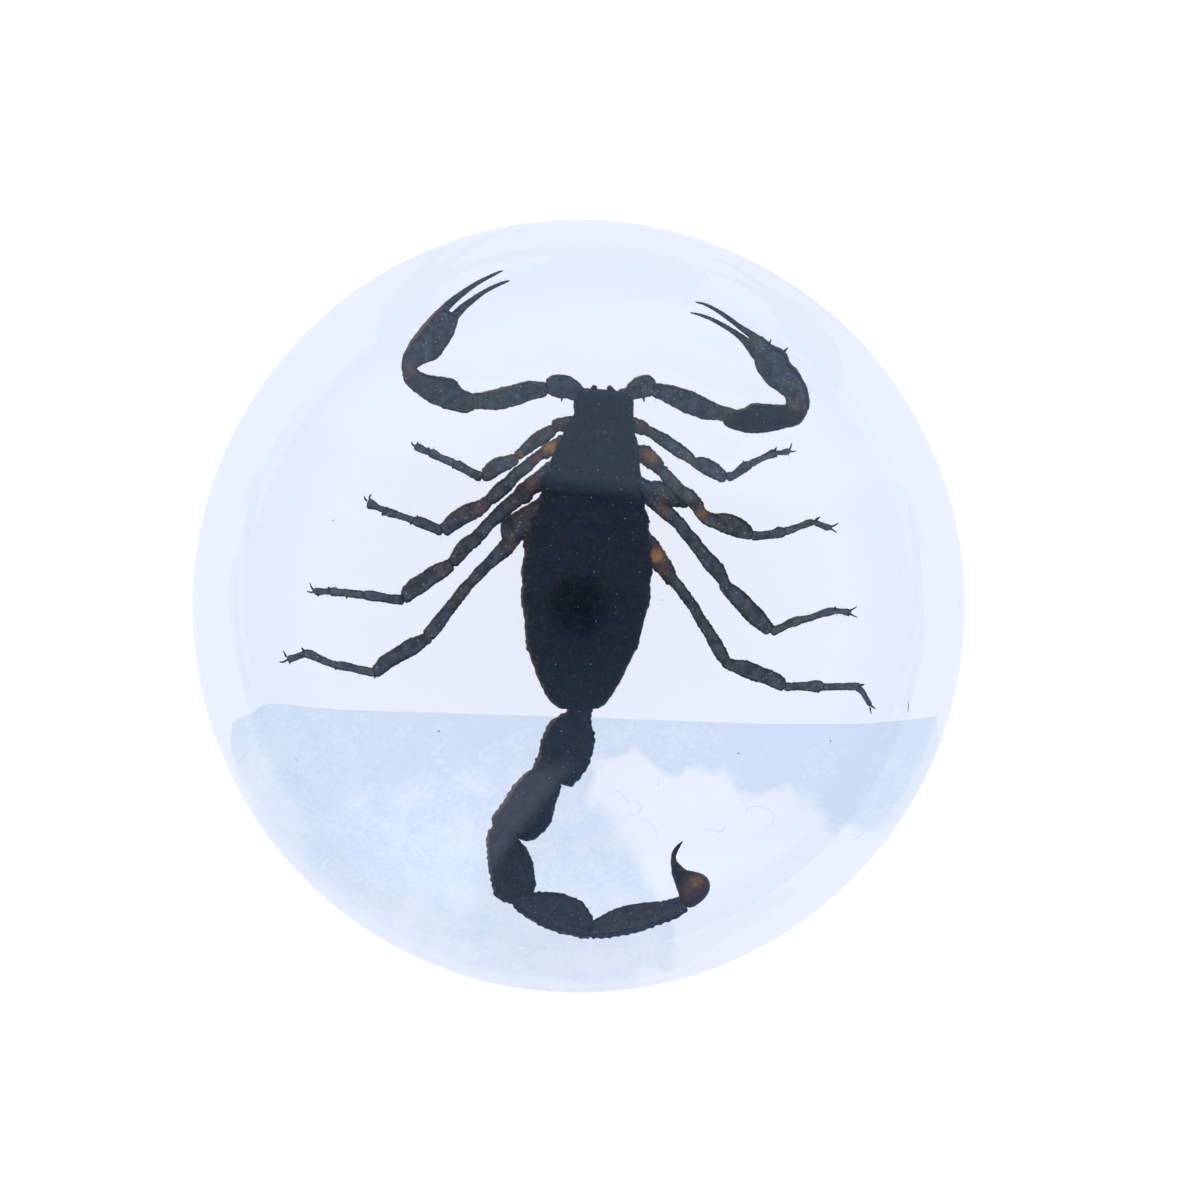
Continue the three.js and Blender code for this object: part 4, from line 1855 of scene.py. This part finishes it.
@dataclass
class Tail:
    """The five tail rings and the sting. Ring by ring the tail rolls onto its side, so that
    its back, at first upwards, comes to face the inside of the curl. The outlines are rows of
    both edges, x, y and x, y, in picture steps."""

    kit: Specimen
    height: float = 7.8
    backs: tuple[float, ...] = (90.0, 55.0, 15.0, 0.0, 0.0)
    relief_room: float = 0.07  # taken off the half width, for ridges and granules
    worn: tuple[float, ...] = (0.06, 0.06, 0.07, 0.15, 0.24)
    rings: tuple[Rows, ...] = (
        ((591.5, 703, 566, 703), (591.8, 710, 567.5, 710), (590.5, 721, 551.5, 721),
         (594, 738, 541.3, 739), (591.8, 755, 537.7, 756), (583.7, 772, 533, 766),
         (576, 781.5, 533.5, 771), (568.5, 787.5, 545, 778)),
        ((563, 776, 530, 768), (561, 781, 526.3, 772), (560.5, 788, 516.8, 781),
         (556.5, 801, 504.8, 798), (554, 813, 497.3, 809.3), (546.7, 828.3, 491.7, 817.5),
         (538, 836, 492.5, 822), (524, 842, 501, 829.5)),
        ((516, 833, 498, 820), (518, 839, 493.5, 825), (524.5, 846, 488.5, 832), (532, 860, 486.5, 848),
         (535, 875, 488.3, 866), (535.3, 887, 492.5, 886), (531.5, 893.5, 496.3, 896.5),
         (524, 900.5, 509, 902)),
        ((520, 893.5, 503, 898), (531, 893, 511.5, 903.5), (541, 892, 519, 911),
         (555.3, 892.3, 533, 920.5), (570.8, 896.5, 552.5, 929.7), (583.8, 902.8, 573, 935),
         (589, 911.5, 584, 937.5), (594, 920, 590, 936.5)),
        ((590, 922, 587, 936.5), (596.5, 918.5, 592, 937), (603, 915, 597, 937.5), (617, 908, 613, 936),
         (640, 903, 640, 930.5), (660, 901, 662, 922.5), (674, 898, 679, 915.5), (681, 896, 689, 908)),
    )
    sting: Rows = (
        (679, 900, 688, 910), (678, 893.5, 697, 904), (676.5, 889, 704, 898.5), (674.5, 883, 709.3, 889.5),
        (671.5, 874, 704.5, 875), (670.5, 866, 684.5, 868.8), (670, 860, 676.5, 860),
        (671.5, 852, 677, 852), (675.5, 846, 679.5, 847.5), (682, 840.3, 683.2, 841),
    )
    glow: Rows = ((697, 884, 10, 0.56), (689, 893, 9, 0.38), (672, 862, 7, 0.14))

    def keels(self, number: int) -> tuple[Keel, ...]:
        """The beaded ridges of one ring: ten on the first, eight on the next three, five on
        the last, in pairs at equal angles from the back, with one under the last.

        Args:
            number: The ring's number, from 0.

        Returns:
            The ridges.
        """
        pairs = {0: (38, 78, 105, 140, 165), 4: (40, 128)}.get(number, (38, 80, 135, 163))
        ridges = [Keel(side * angle, 0.13, 0.14, 0.50) for angle in pairs for side in (1, -1)]
        if number == 4:
            ridges.append(Keel(180.0, 0.19, 0.16, 0.62))
        return tuple(ridges)

    def sting_relief(self, share: Array, angle: Array) -> Array:
        """Low rows of bumps under the bulb, none on the spine."""
        bulb = ramp(share, 0.45, 0.30)
        return 0.05 * bulb * (bell(np.abs(angle) - 2.4, 0.12) + bell(np.abs(angle) - 1.5, 0.12))

    def build(self) -> None:
        """Makes the five rings, the sting and their hairs."""
        lens, kit = self.kit.lens, self.kit
        shells = []
        for number, seen in enumerate(self.rings):
            route = lens.track(seen, (self.height, self.height), 0.92, self.relief_room)
            if number == 0:
                route[:, 4:6] *= 0.88
            keels = self.keels(number)
            skin = Skin(2.7, self.backs[number], keels, 0.075, 0.45, 0.04, worn=self.worn[number])
            shell = sweep(route, skin, 110, 96, (0.3, 0.35), 200.0 + number)
            shells.append(shell)
            kit.hard(f"tail_ring_{number + 1}", shell)
        skin = Skin(2.1, 0.0, (), 0.03, 0.40, 0.03, relief=self.sting_relief)
        route = lens.track(self.sting, (self.height, self.height), 0.92, 0.02)
        sting = sweep(route, skin, 110, 48, (0.5, 0.05), 210.0)
        kit.hard("sting", sting.spotted(kit.spots(self.glow, self.height)))
        kit.hard("tail_hairs", kit.hairs(shells + [sting], 14, 0.4, 220))


# ---- What else is sealed in the block ----


@dataclass
class SeamFilm:
    """The hazy seam between the two pours: a thin sheet over the tail half of the block, clear
    in the bay that the second pour washed out. Its edges are in millimetres, as seen."""

    lens: DomeLens
    height: float = 4.9
    thickness: float = 0.12
    rim: float = 31.2
    top_edge: Rows = (
        (-28.37, -10.91), (-28.3, -9.6), (-27.7, -9.2), (-26.5, -8.68), (-25.76, -8.06), (-25, -7.93),
        (-19.45, -8.46), (-16.2, -8.55), (1.7, -9.12), (14.8, -9.6), (22.9, -9.6), (26.2, -9.35),
        (29.2, -8.95),
    )
    left_edge: Rows = ((-28.37, -10.95), (-28.12, -12.67), (-27.62, -14.17), (-26.4, -15.75))
    # The clear bay's shore: x, y and how many millimetres the haze takes to clear there.
    shore: Rows = (
        (3.85, -30.8, 0.5), (5, -29.7, 0.5), (8, -29.4, 0.4), (8.4, -27.5, 0.4), (7.6, -24.9, 0.4),
        (6.2, -23.05, 0.8), (5.55, -20.9, 1.2), (4.1, -19.7, 1.8), (2.85, -19.2, 1.8), (3.1, -18.2, 1.6),
        (1.9, -17.3, 1.2), (0.85, -15.2, 0.9), (1.65, -12.8, 0.9), (3.05, -12.2, 0.7), (5, -12.2, 0.8),
        (7.6, -13.35, 0.8), (10.3, -13.45, 0.7), (12.7, -13.85, 0.7), (13.55, -15, 1), (15.75, -14.9, 1.2),
        (18, -15.3, 1.4), (19, -16.45, 1.2), (21.1, -18.5, 1), (22.9, -17.85, 1), (25.1, -17.5, 1),
        (27, -20, 1), (24, -27, 1), (14, -33, 1), (4, -34, 1),
    )
    # Faint curled threads left in the bay: x, y and half width in picture steps.
    threads: tuple[Rows, ...] = (
        ((611, 793, 0.4), (618, 791, 0.7), (624, 796, 0.8), (629, 803, 0.6), (633, 805, 0.3)),
        ((634, 800, 0.4), (640, 806, 0.7), (638, 813, 0.8), (631, 815, 0.6), (628, 811, 0.3)),
        ((640, 818, 0.3), (648, 822, 0.6), (655, 829, 0.7), (657, 836, 0.6), (652, 840, 0.3)),
        ((744, 816, 0.3), (747, 808, 0.6), (756, 806, 0.8), (768, 809, 0.8), (774, 817, 0.6),
         (770, 825, 0.6), (761, 826, 0.3)),
        ((705, 832, 0.3), (711, 829, 0.6), (718, 832, 0.7), (724, 828, 0.6), (724, 822, 0.3)),
        ((843, 838, 0.3), (852, 834, 0.6), (858, 837, 0.7), (864, 832, 0.3)),
    )
    finish: HazySeam = field(default_factory=HazySeam)

    def into_bay(self, seen: Array) -> Array:
        """How clear the bay makes each place, from 0 well outside it to 1 well inside.

        The distance to the nearest stretch of the shore, negative outside, over the width of
        the haze's edge there. Inside, a line towards +X crosses the shore an odd number of
        times.

        Args:
            seen: Places, with x and y in the last axis.

        Returns:
            One value for each place.
        """
        shore = np.asarray(self.shore, float)
        start = shore[:, :2]
        along = np.roll(start, -1, axis=0) - start
        gap = seen[..., None, :] - start
        share = np.clip(np.sum(gap * along, axis=-1) / np.sum(along**2, axis=-1), 0.0, 1.0)
        away = np.linalg.norm(gap - share[..., None] * along, axis=-1)
        nearest = np.argmin(away, axis=-1)
        rise = np.where(along[:, 1] == 0.0, 1e-9, along[:, 1])
        part = gap[..., 1] / rise
        crossed = (part >= 0.0) & (part < 1.0) & (gap[..., 0] < part * along[:, 0])
        side = np.where(np.sum(crossed, axis=-1) % 2 == 1, 1.0, -1.0)
        return ramp(side * np.min(away, axis=-1) / shore[nearest, 2], -0.8, 0.8)

    def haze(self, seen: Array) -> Array:
        """How hazy the sheet is.

        A base that fades towards the tail end, more on the right and along the top edge, with
        slow clouds, all times what the bay leaves of it.

        Args:
            seen: Places, with x and y in the last axis.

        Returns:
            One value for each place.
        """
        x, y = seen[..., 0], seen[..., 1]
        flat = np.concatenate([seen, np.zeros(seen.shape[:-1] + (1,))], axis=-1)
        depth = (0.62 + 0.38 * ramp(y, -26.0, -15.0)) * (1.0 - 0.28 * ramp(x, -21.0, -26.0))
        right = 0.26 * ramp(x, 9.0, 16.0) * ramp(y, -19.0, -14.0) * ramp(x, 27.0, 21.0)
        top = np.interp(x, *np.transpose(self.top_edge))
        lip = 0.12 * bell(y - top, 0.35) + 0.10 * ramp(y, -11.5, -9.0)
        cloud = 0.12 * soft_noise(flat, 5.0, 9.0) + 0.10 * soft_noise(flat, 1.6, 8.0)
        cloud = cloud + 0.05 * soft_noise(flat, 0.7, 6.0)
        wander = [
            0.50 * soft_noise(flat, 2.4, seed) + 0.45 * soft_noise(flat, 0.9, seed + 2.0)
            for seed in (3.0, 4.0)
        ]
        bay = self.into_bay(seen + np.stack(wander, axis=-1))
        rim = 1.0 - 0.55 * ramp(np.hypot(x, y), 30.2, 30.9)
        return np.clip(depth + right + lip + cloud, 0.15, 1.5) * rim * (1.0 - bay)

    def build(self, along: int = 290, across: int = 104) -> None:
        """Makes the sheet as a grid between its top edge and the rim, and its threads.

        At x the bottom is the left-hand edge as far as it goes, and then minus the root of the
        rim's square minus the square of x.

        Args:
            along: Steps from left to right.
            across: Steps from top to bottom.
        """
        top_rows, left_rows = np.asarray(self.top_edge), np.asarray(self.left_edge)
        x = np.linspace(top_rows[0, 0], top_rows[-1, 0], along)
        top = np.interp(x, top_rows[:, 0], top_rows[:, 1])
        rim = -np.sqrt(self.rim**2 - x**2)
        bottom = np.where(x < left_rows[-1, 0], np.interp(x, *left_rows.T), rim)
        v = np.linspace(0.0, 1.0, across)
        y = top[:, None] * (1.0 - v) + bottom[:, None] * v
        seen = np.stack([np.broadcast_to(x[:, None], y.shape), y], axis=-1)
        flat = np.concatenate([seen, np.zeros(y.shape + (1,))], axis=-1)
        middle = self.lens.true_place(seen, self.height + 0.06 * soft_noise(flat, 4.0, 7.0))
        half = UP * 0.5 * self.thickness
        sheet = band_shell(np.concatenate([middle + half, (middle - half)[:, ::-1]], axis=1))
        haze = self.haze(seen)
        sheet.tones["haze"] = np.concatenate([haze, haze[:, ::-1]], axis=1).ravel()
        shells = [sheet]
        for rows in self.threads:
            route = self.lens.track(rows, (self.height + 0.3, self.height + 0.3), 0.5)
            thread = sweep(route, Skin(2.0), 40, 8, (0.1, 0.1))
            thread.tones["haze"] = np.full(len(thread.points), 0.45)
            shells.append(thread)
        make_piece("seam_film", shells, self.finish.material(), Slot.SEAM)


@dataclass
class TrappedDust:
    """Lint and grit on the seam and in the resin, as x, y, height and size."""

    lens: DomeLens
    grit: Rows = (
        (-11.4, -10.2, 5.2, 0.09), (6.8, 0.5, 5.3, 0.05), (-20.0, 7.0, 6.0, 0.07),
        (13.0, -12.0, 5.3, 0.07), (-6.0, -15.5, 5.3, 0.06), (20.5, -11.0, 5.3, 0.07),
        (6.5, -14.5, 5.2, 0.06), (-23.0, -12.5, 5.2, 0.07), (9.5, 5.0, 6.0, 0.05),
    )
    lint: Rows = ((26.8, -8.7, 26.8, -7.7),)

    def build(self) -> None:
        """Makes each grain a lumpy bead and each lint a thin bent sweep."""
        shells = []
        for number, (x, y, height, size) in enumerate(self.grit):
            shape = size * np.array([1.0, 0.7, 0.5])
            shell = bead(self.lens.spot(x, y, height), shape, 8, 10)
            shell.points += 0.25 * size * soft_noise(shell.points, size, float(number))[:, None]
            shells.append(shell)
        for x0, y0, x1, y1 in self.lint:
            middle = (0.5 * (x0 + x1) + 0.06, 0.5 * (y0 + y1) + 0.05, 0.03)
            seen = ((x0, y0, 0.025), middle, (x1, y1, 0.02))
            route = self.lens.limb(seen, (5.3, 5.5), 1.0)
            shells.append(sweep(route, Skin(2.0), 20, 8, (0.1, 0.1)))
        make_piece("trapped_dust", shells, DUST.material(), Slot.SEAM)


# ---- Floor, light and camera ----


@dataclass
class Studio:
    """A pale glowing floor, soft surroundings and a camera straight above.

    The surroundings are all the light there is besides the floor: dim overhead, pale at the
    horizon and a little brighter in front, with one broad bright panel behind the block and
    one at the front left. The dome mirrors them faintly.
    """

    block: ResinBlock
    camera_offset: Pair = (1.73, 0.50)
    camera_distance: float = 450.0
    frame_width: float = 97.75
    sensor_width: float = 36.0
    floor_gap: float = 0.06
    floor_reach: float = 3000.0
    floor_colour: Colour = (0.25, 0.25, 0.25)
    # Painted shade: the glow is darkened in a ring under the block's rim to stand for its contact shadow.
    floor_glow: Colour = (0.962, 0.937, 0.955)
    painted_floor_shade: Colour = (0.902, 0.900, 0.935)
    shade_inner: Pair = (17.0, 24.5)  # where the painted shade of the block begins
    shade_outer: Pair = (31.4, 29.0)  # and where it ends, under the wall
    overhead: Colour = (0.20, 0.28, 0.41)
    horizon: Colour = (0.46, 0.66, 0.98)
    panel_behind: Colour = (0.70, 1.00, 1.34)
    glow_front: Colour = (0.34, 0.52, 0.80)
    panel_left: Colour = (1.15, 1.36, 1.85)
    camera_shade: Colour = (0.03, 0.04, 0.06)
    # Where each light begins and is full, as a part of the direction behind, right or up.
    overhead_edge: Pair = (0.15, 0.85)  # up
    glow_edge: Pair = (-0.10, -0.55)  # behind
    glow_bottom: Pair = (0.35, 0.60)  # up
    left_edge: Pair = (-0.57, -0.67)  # behind
    left_slant: Pair = (0.63, 0.55)  # right less behind
    behind_edge: Pair = (0.435, 0.515)  # behind, and sloping with this much of right:
    behind_slope: float = 0.115
    shade_edge: Pair = (0.988, 0.9998)  # up

    @property
    def eye(self) -> tuple[float, float, float]:
        """Where the camera is, in millimetres."""
        return (*self.camera_offset, self.block.rim_height + self.camera_distance)

    @property
    def picture_step(self) -> float:
        """Millimetres at the rim's height for one of the picture's steps."""
        return self.frame_width / PICTURE_STEPS

    def camera(self) -> None:
        """A long lens that looks straight down, with +Y at the top of the picture."""
        data = bpy.data.cameras.new("camera")
        data.sensor_width = self.sensor_width
        data.lens = self.sensor_width * self.camera_distance / self.frame_width
        data.clip_start = 0.01
        eye = new_object("camera", data)
        eye.location = tuple(value * MM for value in self.eye)
        bpy.context.scene.camera = eye

    def floor(self) -> None:
        """A wide, pale surface just under the block, lit evenly but for the block's shade painted into its
        glow.
        """
        corners = np.array([(-1, -1), (1, -1), (1, 1), (-1, 1)]) * self.floor_reach
        points = np.column_stack([corners, np.full(4, -self.floor_gap)]) * MM
        mesh = bpy.data.meshes.new("floor")
        mesh.from_pydata(points.tolist(), [], [(0, 1, 2, 3)])
        canvas = Canvas("pale_floor")
        away = canvas.node("VectorMath")
        away.operation = "LENGTH"
        canvas.feed(away.inputs[0], canvas.place)
        # Painted shade: the glow darkens in a ring under the block's rim.
        edges = (self.shade_inner, self.shade_outer)
        shade = canvas.times(
            *(canvas.spread(away.outputs["Value"], a * MM, b * MM) for a, b in edges)
        )
        glow = canvas.blend(shade, self.floor_glow, self.painted_floor_shade)
        canvas.set(Emission_Color=glow, Emission_Strength=1.0)
        canvas.set(Base_Color=self.floor_colour, Roughness=1.0, Specular_IOR_Level=0.0)
        mesh.materials.append(canvas.material)
        new_object("floor", mesh)

    def surroundings(self) -> None:
        """The soft light all round, as a function of its direction.

        From the horizon up to overhead one colour fades into the other, and the front fades
        into a glow. One panel covers the directions beyond a given part behind, the other those
        in front, as far as a slanting edge on its right. A soft dark patch straight above is
        the camera's own shade.
        """
        world = bpy.data.worlds.new("soft_surroundings")
        world.use_nodes = True
        world.node_tree.nodes.clear()
        nodes = Nodes(world.node_tree)
        place = nodes.node("TexCoord").outputs["Generated"]
        right, behind, above = nodes.node("SeparateXYZ", Vector=place).outputs
        high = nodes.spread(above, *self.overhead_edge)
        glow = nodes.times(
            nodes.spread(behind, *self.glow_edge), nodes.spread(above, *self.glow_bottom)
        )
        slant = nodes.spread(nodes.maths("SUBTRACT", right, behind), *self.left_slant)
        left = nodes.times(nodes.spread(behind, *self.left_edge), slant)
        sloping = nodes.maths("ADD", behind, nodes.times(right, self.behind_slope))
        panel = nodes.spread(sloping, *self.behind_edge)
        shade = nodes.spread(above, *self.shade_edge)
        colour = nodes.blend(high, self.horizon, self.overhead)
        lights = (self.glow_front, self.panel_left, self.panel_behind, self.camera_shade)
        for share, light in zip((glow, left, panel, shade), lights):
            colour = nodes.blend(share, colour, light)
        sky = nodes.node("Background", Color=colour)
        nodes.node("OutputWorld", Surface=sky.outputs["Background"])
        bpy.context.scene.world = world

    def build(self) -> None:
        """Sets up everything that isn't the object."""
        self.camera()
        self.floor()
        self.surroundings()
        bpy.context.scene.view_settings.view_transform = "Standard"


def main() -> None:
    """Builds the studio, the block and everything sealed in it."""
    logging.basicConfig(level=logging.INFO, format="%(message)s")
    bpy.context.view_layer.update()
    block = ResinBlock.from_frame()
    studio = Studio(block)
    studio.build()
    block.build()
    lens = DomeLens(block, studio.eye, block.finish.refractive_index, studio.picture_step)
    cuticle = DarkCuticle().material()
    skin = DarkCuticle("joint_skin", deep=(0.05, 0.028, 0.016), blue=(0.12, 0.065, 0.035)).material()
    kit = Specimen(lens, cuticle, skin, EYES.material())
    Trunk(kit).build()
    Pincer(kit, Side.LEFT, **LEFT_PINCER_PLAN).build()
    Pincer(kit, Side.RIGHT, **RIGHT_PINCER_PLAN).build()
    for number, plan in enumerate(LEG_PLANS):
        Leg(kit, plan, 100.0 + 10.0 * number).build()
    Tail(kit).build()
    SeamFilm(lens).build()
    TrappedDust(lens).build()


if __name__ == "__main__":
    main()
